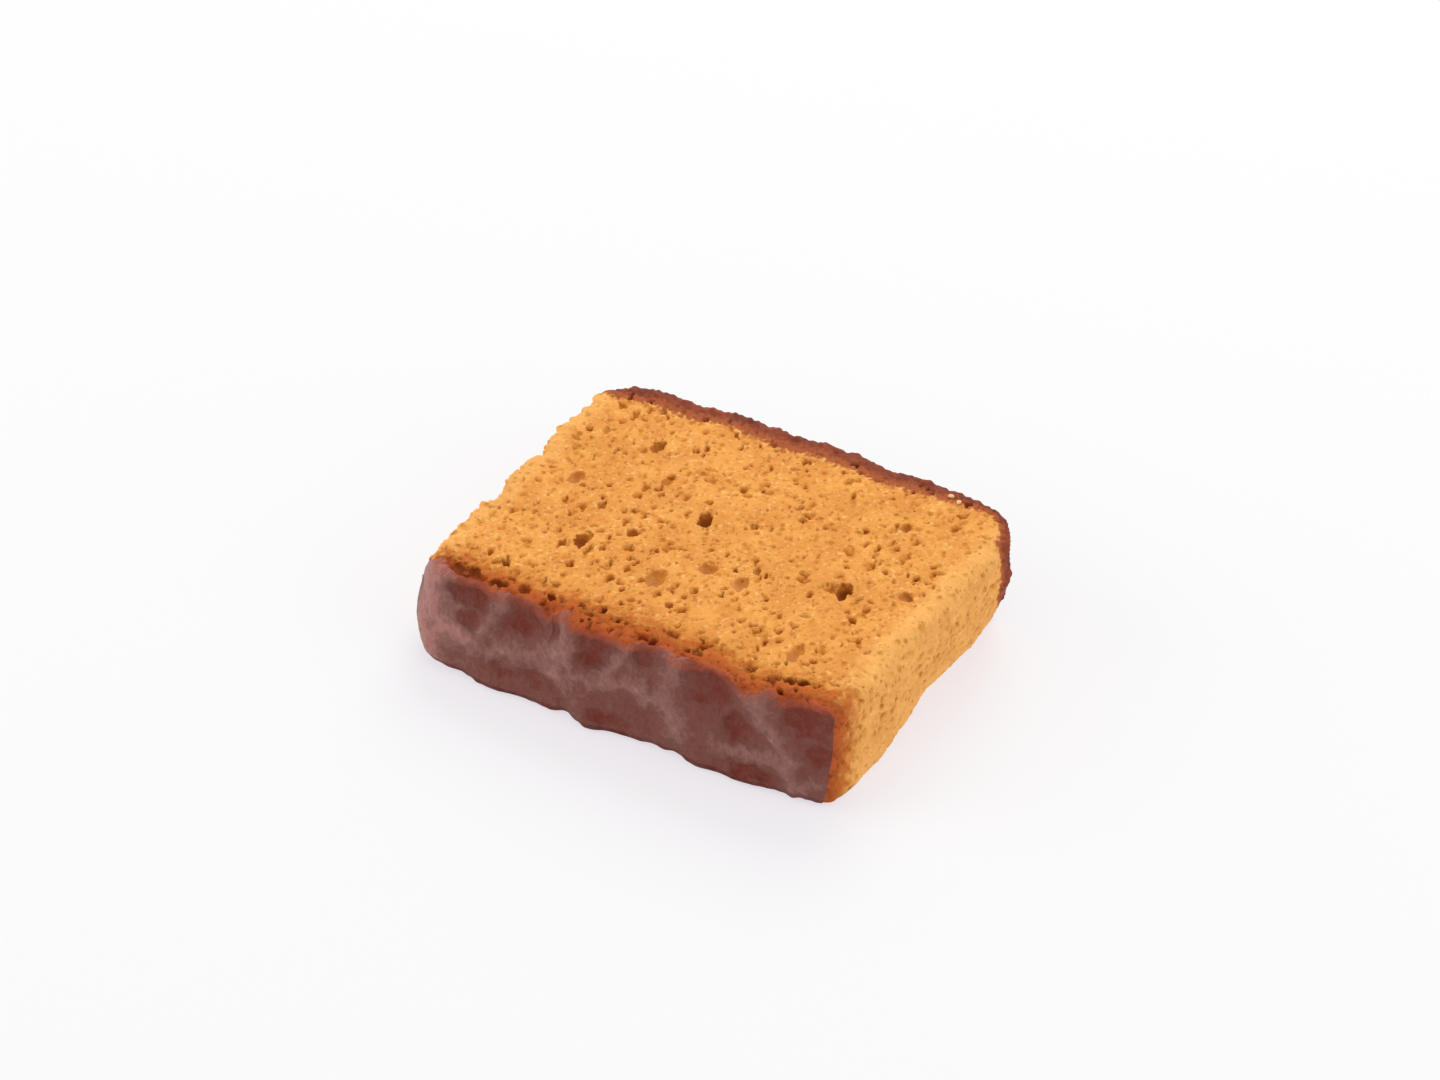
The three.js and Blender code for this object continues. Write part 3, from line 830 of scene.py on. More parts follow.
@dataclass(frozen=True)
class Foam:
    """The crumb's bubbles: three sizes of them everywhere, and the holes that catch the eye, mm."""

    sizes: tuple[BubbleSize, ...] = (
        BubbleSize(cell=4.2, share=0.35, smallest=0.6, largest=1.1, seed=11),
        BubbleSize(cell=2.4, share=0.9, smallest=0.45, largest=0.9, seed=12),
        BubbleSize(cell=1.2, share=0.85, smallest=0.22, largest=0.42, seed=13),
    )
    # Bubbles stretch the way the cake rose
    stretch: tuple[float, float, float] = (1.0, 1.3, 1.0)
    deepest: float = 2.4
    # Small bubbles are a little shallower than round ones
    flatness: float = 0.95
    # How far the bubbles' walls stray from round, and over what length
    wobbles: Pairs = ((0.34, 3.2), (0.15, 1.25))
    wobble_seeds: tuple[float, float, float] = (0.3, 1.1, 2.7)
    holes: tuple[Hole, ...] = (
        Hole(-24.1, -12.0, 1.9, 2.3, 1.9),
        Hole(-27.0, -14.6, 0.6, 1.6, 1.4),
        Hole(-6.1, 4.7, 1.5, 2.3, 2.0),
        Hole(28.3, -2.3, 1.5, 2.2, 2.2),
        Hole(-26.3, 20.4, 1.2, 1.9, 1.4),
        Hole(-35.6, 4.8, 1.6, 2.3, 1.2, True),
        Hole(-5.4, -15.6, 2.0, 2.7, 1.2, True),
        Hole(2.1, -8.2, 2.1, 2.0, 1.3, True),
        Hole(29.0, -22.3, 1.3, 2.9, 1.1, True),
        Hole(9.6, -9.0, 1.5, 2.2, 1.1, True),
        Hole(29.3, 20.8, 1.2, 1.5, 1.3, True),
        Hole(39.7, 2.0, 1.2, 1.3, 1.3, True),
        Hole(-16.4, -5.7, 1.0, 1.6, 1.6),
        Hole(-33.4, -24.8, 1.3, 1.3, 1.4),
        Hole(0.7, -20.9, 1.0, 1.1, 1.3),
        Hole(10.7, -4.4, 0.7, 1.5, 1.2),
        Hole(-18.8, 12.1, 0.9, 1.4, 1.1),
        Hole(-26.2, -0.8, 0.8, 1.5, 1.2),
        Hole(-28.6, -22.8, 0.7, 0.8, 1.0),
        Hole(-31.2, -30.9, 1.9, 1.2, 1.5),
        Hole(-40.2, -30.9, 2.0, 1.5, 1.1),
        Hole(-37.6, -30.2, 1.9, 1.4, 1.2),
        Hole(-25.7, -30.1, 1.0, 1.3, 1.2),
        Hole(-20.3, -30.0, 1.4, 0.9, 1.3),
        Hole(-13.9, -29.2, 0.8, 0.9, 1.1),
        Hole(-9.4, -28.3, 0.8, 1.2, 1.3),
        Hole(-10.9, -31.1, 0.9, 0.8, 1.0),
        Hole(3.3, -32.2, 1.2, 1.2, 1.5),
        Hole(5.9, -28.3, 1.3, 0.7, 1.0),
        Hole(12.9, -31.0, 1.0, 0.8, 1.0),
        Hole(23.2, -30.0, 1.2, 0.8, 1.0),
        Hole(29.0, -30.9, 1.5, 0.9, 1.2),
        Hole(32.0, -30.2, 1.8, 0.9, 1.5),
        Hole(35.0, -29.3, 1.4, 1.1, 1.9),
    )

    def wobbled(self, points: np.ndarray) -> np.ndarray:
        """The points pushed about a little, so that no bubble is quite round.

        Each coordinate is moved by a ripple of each length, laid in a plane of its own.

        Args:
            points: Points of the slab, mm.

        Returns:
            The pushed points, mm.
        """
        x, y, z = points.T
        ways = tuple(zip(self.wobble_seeds, ((y + x, z), (x - z, y), (x, y))))
        pushed = points
        for height, length in self.wobbles:
            push = [Ripple(height, length, seed + length).at(*plane) for seed, plane in ways]
            pushed = pushed + np.stack(push, -1)
        return pushed

    def moves(
        self, points: np.ndarray, inward: np.ndarray, on_top: np.ndarray
    ) -> tuple[np.ndarray, np.ndarray, np.ndarray]:
        """How the bubbles move each point of the surface.

        Args:
            points: Points of the slab, mm.
            inward: The unit direction into the cake at each point.
            on_top: Whether each point is on the top face.

        Returns:
            The move, mm, how deep it goes, mm, and how much of a smooth film shows there, from 0 to 1.
        """
        spots = self.wobbled(points)
        stretch = np.array(self.stretch)
        depth = np.max([size.depth(spots, inward, stretch) for size in self.sizes], 0)
        depth = np.minimum(depth, self.deepest) * self.flatness
        move = inward * depth[:, None]
        film = np.zeros(len(points))
        for hole in self.holes:
            cut, hole_film, inside = hole.cut(spots)
            inside = inside & on_top & ((-cut[:, 2] > depth) | hole.smooth)
            move = np.where(inside[:, None], cut, move)
            depth = np.where(inside, -cut[:, 2], depth)
            film = np.where(inside, hole_film, film)
        return move, depth, film


@dataclass(frozen=True)
class Fold:
    """A soft ridge of the base crust: its path of (x, z) places, half width and height, mm."""

    path: Pairs
    half_width: float
    height: float

    def rise(self, x: np.ndarray, z: np.ndarray) -> np.ndarray:
        """A bell curve of the distance from the nearest of the path's straight parts.

        Args:
            x: Place along the slice, mm.
            z: Height, mm.

        Returns:
            1 on the path, and less the further from it.
        """
        nearest = np.full(x.shape, np.inf)
        for (x0, z0), (x1, z1) in zip(self.path, self.path[1:]):
            long, high = x1 - x0, z1 - z0
            share = np.clip(((x - x0) * long + (z - z0) * high) / (long**2 + high**2), 0, 1)
            nearest = np.minimum(nearest, np.hypot(x - x0 - share * long, z - z0 - share * high))
        return bell(nearest, 0, self.half_width)


@dataclass(frozen=True)
class Dent:
    """A shallow hollow of the base crust: its place, half widths and depth, mm."""

    x: float
    z: float
    half_x: float
    half_z: float
    depth: float
    # Parts of the bell curve that are the dent's sides
    sides: Span = (0.1, 0.85)

    def fall(self, x: np.ndarray, z: np.ndarray) -> np.ndarray:
        """A bell curve round the dent's middle, with a flatter floor and steeper sides."""
        return smoothstep(*self.sides, bell(x, self.x, self.half_x) * bell(z, self.z, self.half_z))


@dataclass(frozen=True)
class Wrinkles:
    """The base crust's skin, creased by the paper it was baked on: soft folds round shallow dents, mm."""

    folds: tuple[Fold, ...] = (
        Fold(((-44, 15.5), (-43, 12), (-37, 9.9), (-31, 8.9), (-22, 10.6), (-16.5, 12.6)), 3.4, 0.7),
        Fold(
            ((-14.4, 23), (-13, 17.5), (-12.7, 13.5), (-11, 11.4), (-8, 11.2), (-4, 11.8), (4.5, 13.8)),
            2.8,
            0.9,
        ),
        Fold(((-14.8, 14), (-15.9, 10.5), (-12.7, 6.6)), 4.6, 0.6),
        Fold(((-27.5, 22), (-28.9, 17.4), (-31.1, 14.5), (-32, 10)), 2.6, 0.5),
        Fold(((1.4, 23), (0, 19), (-3.2, 15.4), (-4.3, 11.9)), 2.4, 0.5),
        Fold(((11.2, 23), (9.7, 15.8), (8.4, 12.6), (10.8, 10), (11, 7)), 4.0, 0.7),
        Fold(((3.5, 11.6), (8.4, 12.6)), 3.0, 0.5),
        Fold(((25.5, 23), (28.2, 18.9), (32.2, 13.9), (35.1, 11.2), (34.9, 7.2), (36.8, 3.5)), 3.2, 1.0),
        Fold(((19.9, 6.6), (24.1, 7), (32.5, 7.7)), 2.6, 0.4),
        Fold(((36.8, 3.5), (39.9, 5.2), (44, 6.2)), 2.4, 0.5),
        Fold(((-46, 19), (-48, 12), (-45, 5)), 5.0, 0.2),
    )
    dents: tuple[Dent, ...] = (
        Dent(-35.8, 17.9, 5.0, 2.2, 0.7),
        Dent(-24.0, 17.5, 5.5, 3.2, 0.7),
        Dent(-18.3, 6.6, 5.0, 2.2, 0.6),
        Dent(-28.1, 5.8, 4.0, 1.6, 0.4),
        Dent(-6.8, 16.8, 4.6, 3.6, 0.8),
        Dent(3.2, 19.8, 2.2, 2.0, 0.5),
        Dent(6.6, 20.8, 2.0, 1.6, 0.5),
        Dent(17.0, 18.5, 6.0, 4.2, 0.9),
        Dent(24.4, 12.3, 3.0, 4.0, 0.7),
        Dent(39.0, 19.2, 5.5, 4.0, 0.6),
        Dent(41.2, 12.0, 3.2, 3.0, 0.7),
        Dent(27.5, 3.6, 6.0, 1.7, 0.8),
        Dent(-47.4, 13.5, 1.2, 2.5, 0.4),
        Dent(-3.9, 3.7, 5.0, 1.8, 0.4),
        Dent(-16.2, 18.6, 1.2, 2.0, 0.35),
        Dent(-35.0, 13.4, 3.0, 1.8, 0.3),
    )
    # Painted light: the crust is coloured palest towards the left end, up to its corner, as a painted sheen
    # where light falls on that side
    left_painted_sheen: float = 1.25
    sheen_fade_span: Span = (-45.0, -30.0)
    sheen_end: Span = (-49.2, -47.6)
    # Painted shade: the crust is coloured darker towards its foot, and darkest along it, as a painted contact
    # shadow
    foot_shade: float = 0.5
    foot_height: float = 2.4
    foot_shadow_line: float = 2.6
    foot_shadow_heights: Span = (0.8, 2.0)
    # The very crest of a fold is a thin line: how much paler it is, as a painted highlight, how much higher
    # it is, and how many times sharper
    crest_highlight: float = 0.4
    crest_height: float = 0.12
    crest_power: float = 8.0
    # A fold's tone, its painted sheen, is this much sharper than the fold
    tone_power: float = 1.6
    # Parts of a dent's depth over which its tone, a painted shade, comes in
    dent_tone: Span = (0.05, 0.8)
    # Over this height a fold or dent keeps its tone up to the skin's edge
    tone_top: float = 19.2
    warp_x: Ripple = Ripple(0.5, 5.0, 5.1)
    warp_z: Ripple = Ripple(0.4, 4.0, 6.4)
    pucker: Ripple = Ripple(0.07, 2.6, 7.7)
    # Puckers are this much longer along the slice than up it
    pucker_stretch: float = 1.6

    def warped(self, points: np.ndarray) -> tuple[np.ndarray, np.ndarray]:
        """The points' (x, z), pushed about a little, so that no fold is quite straight."""
        x, _, z = points.T
        return x + self.warp_x.at(x, z), z + self.warp_z.at(x, z)

    def skin_light_and_shade(self, points: np.ndarray, above: np.ndarray) -> np.ndarray:
        """The skin's painted light and shade: how folded or dented it is at each point.

        Args:
            points: Points of the slab, mm.
            above: Height of each over the slice's own foot, mm.

        Returns:
            1 on a fold, -1 in a dent, 0 between them, more towards the left end and less along the foot.
            Above 0 it is painted sheen, below 0 painted shade.
        """
        x, z = self.warped(points)
        z = np.minimum(z, self.tone_top)
        up = np.max([fold.rise(x, z) for fold in self.folds], 0) ** self.tone_power
        dented = np.max([dent.fall(x, z) for dent in self.dents], 0)
        down = smoothstep(*self.dent_tone, dented) * (1 - up)
        # Painted light: the skin is painted paler towards the left end, a painted sheen
        sheen_paint = self.left_painted_sheen * (1 - smoothstep(*self.sheen_fade_span, points[:, 0]))
        sheen_paint = sheen_paint * smoothstep(*self.sheen_end, points[:, 0])
        # Painted shade: darker towards the foot, and a painted contact shadow along it
        foot = self.foot_shade * (1 - smoothstep(0, self.foot_height, above))
        foot = foot + self.foot_shadow_line * (1 - smoothstep(*self.foot_shadow_heights, above))
        return up - down + sheen_paint * (1 - down) - foot + self.crest_highlight * self.crest_share(x, z)

    def crest_share(self, x: np.ndarray, z: np.ndarray) -> np.ndarray:
        """The folds' own bell curves to a power, so that only their crests are left."""
        return np.max([fold.height * fold.rise(x, z) ** self.crest_power for fold in self.folds], 0)

    def height(self, points: np.ndarray) -> np.ndarray:
        """Height of the skin over the slab: the highest fold less the deepest dent, with fine puckers.

        Args:
            points: Points of the slab, mm.

        Returns:
            The height, mm.
        """
        x, z = self.warped(points)
        up = np.max([fold.height * fold.rise(x, z) for fold in self.folds], 0)
        down = np.max([dent.depth * dent.fall(x, z) for dent in self.dents], 0)
        up = up + self.crest_height * self.crest_share(x, z)
        return up - down + self.pucker.at(points[:, 0], self.pucker_stretch * points[:, 2])


@dataclass(frozen=True)
class CrownBumps:
    """The top crust's lumps, mm."""

    lumps: Ripple = Ripple(0.2, 4.6, 2.2)
    pimples: Ripple = Ripple(0.18, 1.8, 4.4)
    # How far the lumps' rows slant, so that they run on round the corner
    slant: float = 0.6

    def height(self, points: np.ndarray) -> np.ndarray:
        """Height of the crust over the slab: two ripples, laid along the crust and over its edge.

        Args:
            points: Points of the slab, mm.

        Returns:
            The height, mm.
        """
        x, y, z = points.T
        along, over = x + self.slant * y, z - y
        return self.lumps.at(along, over) + self.pimples.at(along, over)


@dataclass(frozen=True)
class TornEnd:
    """The left end's torn crumb, mm."""

    tears: Ripple = Ripple(0.2, 4.6, 3.6)
    nibbles: Ripple = Ripple(0.26, 1.9, 8.2)
    reach: Span = (0.2, 2.5)

    def height(self, points: np.ndarray, left_gap: np.ndarray) -> np.ndarray:
        """Height of the torn crumb over the slab, which fades away from the left end."""
        _, y, z = points.T
        return (self.tears.at(y, z) + self.nibbles.at(y, z)) * (1 - smoothstep(*self.reach, left_gap))


@dataclass(frozen=True)
class DarkEdgeMarks:
    """Dark marks in the crumb along the base skin's edge: place along the slice, half width, strength."""

    marks: Triples = (
        (-42, 3, 0.9), (-37, 3.5, 1), (-27, 2, 0.7), (-19, 2.5, 0.9), (-8, 2.2, 0.6),
        (3.5, 1.8, 0.8), (12, 3, 0.5), (25, 2, 0.6), (34, 4, 0.6),
    )
    sway: Ripple = Ripple(0.8, 4.0, 6.1)

    def at(self, points: np.ndarray) -> np.ndarray:
        """How darkly the crumb is marked beside the skin, from 0 to 1: a bell curve for each mark.

        Args:
            points: Points of the slab, mm.

        Returns:
            The greatest of the bell curves.
        """
        x, y, _ = points.T
        place = x + self.sway.at(x, y)
        return np.max([strength * bell(place, at, half_width) for at, half_width, strength in self.marks], 0)


class Lay(Enum):
    """How a coat of colour meets what is under it."""

    COVER = "MIX"
    STAIN = "MULTIPLY"


@dataclass(frozen=True)
class Measure:
    """A value at each point of the surface, worked out from others by their names.

    The others, named with spaces between them, are added up. While their sum runs over the span, it eases
    from the first result to the last, as 3 t squared less 2 t cubed. It is then multiplied by one more value,
    or gives way to one that is greater.
    """

    of: str
    span: tuple[float | str, float] | None = None
    result: Span = (0.0, 1.0)
    times: str = ""
    at_least: str = ""


@dataclass(frozen=True)
class Coat:
    """A colour, or a stack of coats, laid over what is under it by a measure from 0 to 1."""

    share: str
    colour: str
    lay: Lay = Lay.COVER


@dataclass(frozen=True)
class Relief:
    """Relief too fine for the mesh: the measure of its height, its depth, mm, and how strong it is."""

    height: str
    depth: float
    strength: float | str = 0.5
    sunk: bool = False


@dataclass(frozen=True)
class BakedCake:
    """Baked batter: dull, porous golden crumb that browns and closes to a smooth, faintly greasy crust.

    The crumb scatters light, so it looks dry and even. It browns towards the crusts, and is painted darker
    inside its bubbles as painted shade. The base crust is a deep red brown, painted paler and greyer on its
    folds as a painted sheen, and darker in its dents and along its foot as painted shade. The top crust is
    thin and dark.
    """

    name: str = "baked_date_cake"
    # What the mesh says of each point
    attributes: tuple[str, ...] = (
        "base_gap", "toast_gap", "crown_gap", "pit", "film", "crest", "pressed", "scorch",
    )
    # Width of the patches of soft noise, mm
    noises: dict[str, float] = field(
        default_factory=lambda: {"blotch": 6.0, "mottle": 1.7, "speckle": 0.9, "leather": 0.7, "sheen_paint": 5.0}
    )
    # Spacing of the bubbles too small for the mesh, mm, one round each point of a scatter, and of the grain
    pores: dict[str, float] = field(default_factory=lambda: {"pore": 2.0, "fine_pore": 1.05})
    grain: float = 0.5
    palette: dict[str, str] = field(
        default_factory=lambda: {
            "golden": "#EAA252",
            "amber": "#DF9449",
            # Stains for the insides of bubbles, painted shade, darker still for deep ones
            "pit": "#E0CD90",
            "deep": "#AC7A50",
            # The smooth walls of wide holes: painted light and sheen on their lit side, painted shade deeper
            # down
            "film": "#CA8650",
            "film_deep_shade": "#94502E",
            # Pale crumb along the ends' edges and over the right end, painted light
            "pressed": "#FFC878",
            # Pale specks, painted glints
            "glint_colour": "#FBCB88",
            "honeyed": "#CC8038",
            "toasted": "#BA6028",
            "scorched": "#8C401C",
            "crevice": "#7E2E16",
            "crust_edge": "#B2582E",
            # The base skin: painted shade in dents, painted sheen on folds and towards the left end
            "base_dent_shade": "#733326",
            "base_skin": "#7A4B42",
            "base_fold_sheen": "#895A50",
            "base_pale_sheen": "#A87066",
            # The lip: partly redder crust, partly a painted highlight
            "base_lip_and_highlight": "#A44E34",
            # Painted contact shadow along the foot
            "base_foot": "#4A2824",
            "crown_inner": "#A85A36",
            "crown_outer": "#8C442C",
            "crown_dark": "#6C3020",
        }
    )
    measures: dict[str, Measure] = field(
        default_factory=lambda: {
            # Patches of the crumb, and pale specks that are painted glints
            "blotched": Measure("blotch", (0.36, 0.64)),
            "mottled": Measure("mottle", (0.45, 0.7), (0, 0.3)),
            "painted_glints": Measure("speckle", (0.56, 0.72), (0, 0.5)),
            # How far the edges of the crusts and of the browning wander, mm, and the distances from them
            "wander": Measure("speckle", (0.25, 0.75), (-0.5, 0.5)),
            "drift": Measure("mottle", (0.25, 0.75), (-2.2, 2.2)),
            "stray": Measure("speckle", (0.25, 0.75), (-0.35, 0.35)),
            "base_depth": Measure("toast_gap wander drift"),
            "edge_depth": Measure("base_gap wander"),
            "skin_depth": Measure("base_gap stray"),
            "crown_depth": Measure("crown_gap wander stray"),
            # Skins, and the browning beside them
            "skin": Measure("skin_depth", (0, 0.5), (1, 0)),
            "crown_skin": Measure("crown_depth", (0.6, 2.2), (1, 0)),
            "any_skin": Measure("skin", at_least="crown_skin"),
            "honeyed": Measure("base_depth", (4, 11), (0.75, 0)),
            "browned": Measure("base_depth", (2, 8), (1, 0)),
            "scorched": Measure("mottle", (0.42, 0.68), (0, 0.9)),
            "edge_scorched": Measure("mottle", (0.45, 0.7), (0, 0.5)),
            "broad_edge": Measure("edge_depth", (0.5, 3.5), (0.95, 0), times="browned"),
            "edge": Measure("edge_depth", (0.1, 1.2), (0.95, 0), at_least="broad_edge"),
            "marked": Measure("edge_depth", (0.3, 2.4), (0.85, 0), times="scorch"),
            "crown_inner": Measure("crown_depth", (2.8, 4.6), (1, 0)),
            "crown_dark": Measure("blotch", (0.42, 0.62), (0, 0.7)),
            # Bubbles of the mesh, painted darker inside as painted shade, and near the base darker still,
            # partly browned crumb and partly painted shade
            "pit_shade": Measure("pit", (0.05, 1)),
            "deep": Measure("pit", (0.9, 2.2)),
            "film_deep_shade": Measure("pit", (0.8, 1.8)),
            "near_base": Measure("base_depth", (5, 10), (1, 0)),
            "burnt_and_shaded": Measure("pit", (0.3, 1.3), (0, 0.85), times="near_base"),
            # Bubbles too small for it, 1 in the middle and 0 past a rim whose width is left to chance. They
            # are painted darker as painted shade
            "pore_rim": Measure("pore_chance", (0.25, 0.75), (0.12, 0.45)),
            "pored": Measure("pore_distance", ("pore_rim", 0)),
            "fine_pore_rim": Measure("fine_pore_chance", (0.25, 0.75), (0.12, 0.45)),
            "fine_pored": Measure("fine_pore_distance", ("fine_pore_rim", 0)),
            "fine_pore_shade": Measure("fine_pored", (0, 1), (0, 0.3)),
            "fine_pore_depth": Measure("fine_pored", (0, 1), (0, 0.5)),
            "pore_depth": Measure("pored fine_pore_depth"),
            # Tones of the base crust's skin, and its lip: a painted sheen on folds, painted shade in dents
            # and along the foot, and a lip that is partly redder crust and partly a painted highlight
            "bloomed": Measure("sheen_paint", (0.25, 0.75), (-0.4, 0.35)),
            "freckled": Measure("mottle", (0.25, 0.75), (0.3, -0.3)),
            "gritty": Measure("speckle", (0.25, 0.75), (0.28, -0.28)),
            "skin_tone": Measure("crest bloomed freckled gritty"),
            "dent": Measure("skin_tone", (0.2, -1.6)),
            "fold": Measure("skin_tone", (0.1, 1.4)),
            "pale": Measure("skin_tone", (1.2, 2.2), (0, 0.9)),
            "foot": Measure("skin_tone", (-1.8, -3.4)),
            "lip_blotch": Measure("blotch", (0.35, 0.65), (0.35, 0.9)),
            "lip": Measure("skin_depth", (-1.5, -0.2), times="lip_blotch"),
            # Dull crumb and smoother skins, whose folds shine a little
            "roughness": Measure("any_skin", (0, 1), (0.9, 0.5)),
            "greasy": Measure("skin", times="fold"),
            "shine": Measure("greasy", (0, 1), (0.08, 0.3)),
            "open_crumb": Measure("any_skin", (0, 1), (0.8, 0)),
            "creased": Measure("skin", (0, 1), (0, 0.7)),
        }
    )
    # Stacks of coats, each a ground and what is laid over it in turn. Bubbles are painted yellower and darker
    # inside as painted shade, and deep ones dark
    stacks: dict[str, tuple[str, tuple[Coat, ...]]] = field(
        default_factory=lambda: {
            "crumb": (
                "golden",
                (
                    Coat("blotched", "amber"),
                    Coat("mottled", "pit", Lay.STAIN),
                    # Painted glints
                    Coat("painted_glints", "glint_colour"),
                    # Painted light along the ends' edges and over the right end
                    Coat("pressed", "pressed"),
                ),
            ),
            "toast": ("toasted", (Coat("scorched", "scorched"),)),
            "rim": ("crust_edge", (Coat("edge_scorched", "scorched"),)),
            "crown": ("crown_outer", (Coat("crown_dark", "crown_dark"),)),
            # The smooth walls of wide holes: painted light and sheen on their lit side, painted shade deeper
            # down
            "bubble_wall_light": ("film", (Coat("film_deep_shade", "film_deep_shade"),)),
            "base": (
                "base_skin",
                (
                    # Painted shade in dents, painted sheen on folds and towards the left end
                    Coat("dent", "base_dent_shade"),
                    Coat("fold", "base_fold_sheen"),
                    Coat("pale", "base_pale_sheen"),
                    # Painted contact shadow along the foot
                    Coat("foot", "base_foot"),
                    # The lip: partly redder crust, partly a painted highlight
                    Coat("lip", "base_lip_and_highlight"),
                ),
            ),
            "cake": (
                "crumb",
                (
                    Coat("honeyed", "honeyed"),
                    Coat("browned", "toast"),
                    Coat("edge", "rim"),
                    Coat("marked", "crevice"),
                    Coat("crown_inner", "crown_inner"),
                    Coat("crown_skin", "crown"),
                    # Painted shade inside the bubbles of the mesh and in the pores too small for it
                    Coat("pit_shade", "pit", Lay.STAIN),
                    Coat("deep", "deep", Lay.STAIN),
                    Coat("pored", "pit", Lay.STAIN),
                    Coat("fine_pore_shade", "pit", Lay.STAIN),
                    # Painted light and sheen on the lit side of wide holes
                    Coat("film", "bubble_wall_light"),
                    # Near the base, partly browned crumb and partly painted shade in the holes
                    Coat("burnt_and_shaded", "crevice"),
                    Coat("skin", "base"),
                ),
            ),
        }
    )
    reliefs: tuple[Relief, ...] = (
        Relief("mottle", 0.35),
        Relief("pore_depth", 0.4, "open_crumb", sunk=True),
        Relief("skin_tone", 0.5, "creased"),
        Relief("grain_or_leather", 0.12),
    )

    def make(self) -> bpy.types.Material:
        """Builds the material from the mesh's attributes and object coordinates.

        Returns:
            The material.
        """
        material = new_material(self.name)
        values = self.patterns(material.node_tree)
        self.work_out(material.node_tree, values)
        inputs = {
            "Base Color": self.coated(material.node_tree, values),
            "Roughness": values["roughness"],
            "Normal": self.relieved(material.node_tree, values),
            "Specular IOR Level": values["shine"],
        }
        return give_surface(material, inputs)

    def patterns(self, tree: bpy.types.NodeTree) -> Values:
        """Reads the mesh's attributes and lays the noises, the pores and the grain.

        Args:
            tree: The material's node tree.

        Returns:
            The values by their names.
        """
        place = add_node(tree, "TexCoord").outputs["Object"]
        values = {
            name: add_node(tree, "Attribute", attribute_name=name).outputs["Fac"] for name in self.attributes
        }
        for name, width in self.noises.items():
            noise = add_node(tree, "TexNoise", {"Vector": place, "Scale": 1 / (width * MM)})
            values[name] = noise.outputs["Fac"]
        for name, spacing in self.pores.items():
            cells = add_node(tree, "TexVoronoi", {"Vector": place, "Scale": 1 / (spacing * MM)})
            values[name + "_chance"] = cells.outputs["Color"]
            values[name + "_distance"] = cells.outputs["Distance"]
        inputs = {"Vector": place, "Scale": 1 / (self.grain * MM)}
        grains = add_node(tree, "TexVoronoi", inputs, feature="SMOOTH_F1")
        values["grain"] = grains.outputs["Distance"]
        return values

    def work_out(self, tree: bpy.types.NodeTree, values: Values) -> None:
        """Works out every measure in turn, each from the ones before it.

        Args:
            tree: The material's node tree.
            values: The values by their names, to which the measures are added.
        """
        for name, measure in self.measures.items():
            first, *others = measure.of.split()
            result = values[first]
            for other in others:
                result = add_node(tree, "Math", {0: result, 1: values[other]}, operation="ADD").outputs[0]
            if measure.span:
                start, end = measure.span
                low, high = measure.result
                inputs = {"Value": result, "From Min": values.get(start, start), "From Max": end}
                inputs |= {"To Min": low, "To Max": high}
                result = add_node(tree, "MapRange", inputs, interpolation_type="SMOOTHSTEP").outputs[0]
            for operation, other in (("MULTIPLY", measure.times), ("MAXIMUM", measure.at_least)):
                if other:
                    pair = {0: result, 1: values[other]}
                    result = add_node(tree, "Math", pair, operation=operation).outputs[0]
            values[name] = result

    def coated(self, tree: bpy.types.NodeTree, values: Values) -> bpy.types.NodeSocket:
        """Lays the stacks of coats.

        Args:
            tree: The material's node tree.
            values: The values by their names.

        Returns:
            The colour of the whole cake.
        """
        colours: dict[str, Any] = {name: linear(colour) for name, colour in self.palette.items()}
        for name, (ground, coats) in self.stacks.items():
            laid = colours[ground]
            for coat in coats:
                inputs = {MIX_FACTOR: values[coat.share], MIX_A: laid, MIX_B: colours[coat.colour]}
                mixed = add_node(tree, "Mix", inputs, data_type="RGBA", blend_type=coat.lay.value)
                laid = mixed.outputs[MIX_RESULT]
            colours[name] = laid
        return colours["cake"]

    def relieved(self, tree: bpy.types.NodeTree, values: Values) -> bpy.types.NodeSocket:
        """Lays the fine reliefs over one another, the last of grain on the crumb and leather on the skins.

        Args:
            tree: The material's node tree.
            values: The values by their names.

        Returns:
            The direction that the surface faces.
        """
        inputs = {"Factor": values["any_skin"], "A": values["grain"], "B": values["leather"]}
        heights = values | {"grain_or_leather": add_node(tree, "Mix", inputs).outputs[0]}
        under: dict[str | int, Any] = {}
        for relief in self.reliefs:
            strength = values.get(relief.strength, relief.strength)
            inputs = {"Strength": strength, "Distance": relief.depth * MM, "Height": heights[relief.height]}
            bump = add_node(tree, "Bump", inputs | under, invert=relief.sunk)
            under = {"Normal": bump.outputs["Normal"]}
        return under["Normal"]


def dressed(name: str, mesh: bpy.types.Mesh, material: bpy.types.Material) -> bpy.types.Object:
    """Makes a piece of the slice.

    Args:
        name: The piece's name.
        mesh: Its mesh, in metres, in the solid's frame.
        material: Its finish.

    Returns:
        The piece, on its body, standing for the solid.
    """
    piece = bpy.data.objects.new(name, mesh)
    bpy.context.scene.collection.objects.link(piece)
    mesh.materials.append(material)
    mesh.polygons.foreach_set("use_smooth", np.ones(len(mesh.polygons), bool))
    mesh.update()
    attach(piece, BODY)
    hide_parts(NODE)
    return piece


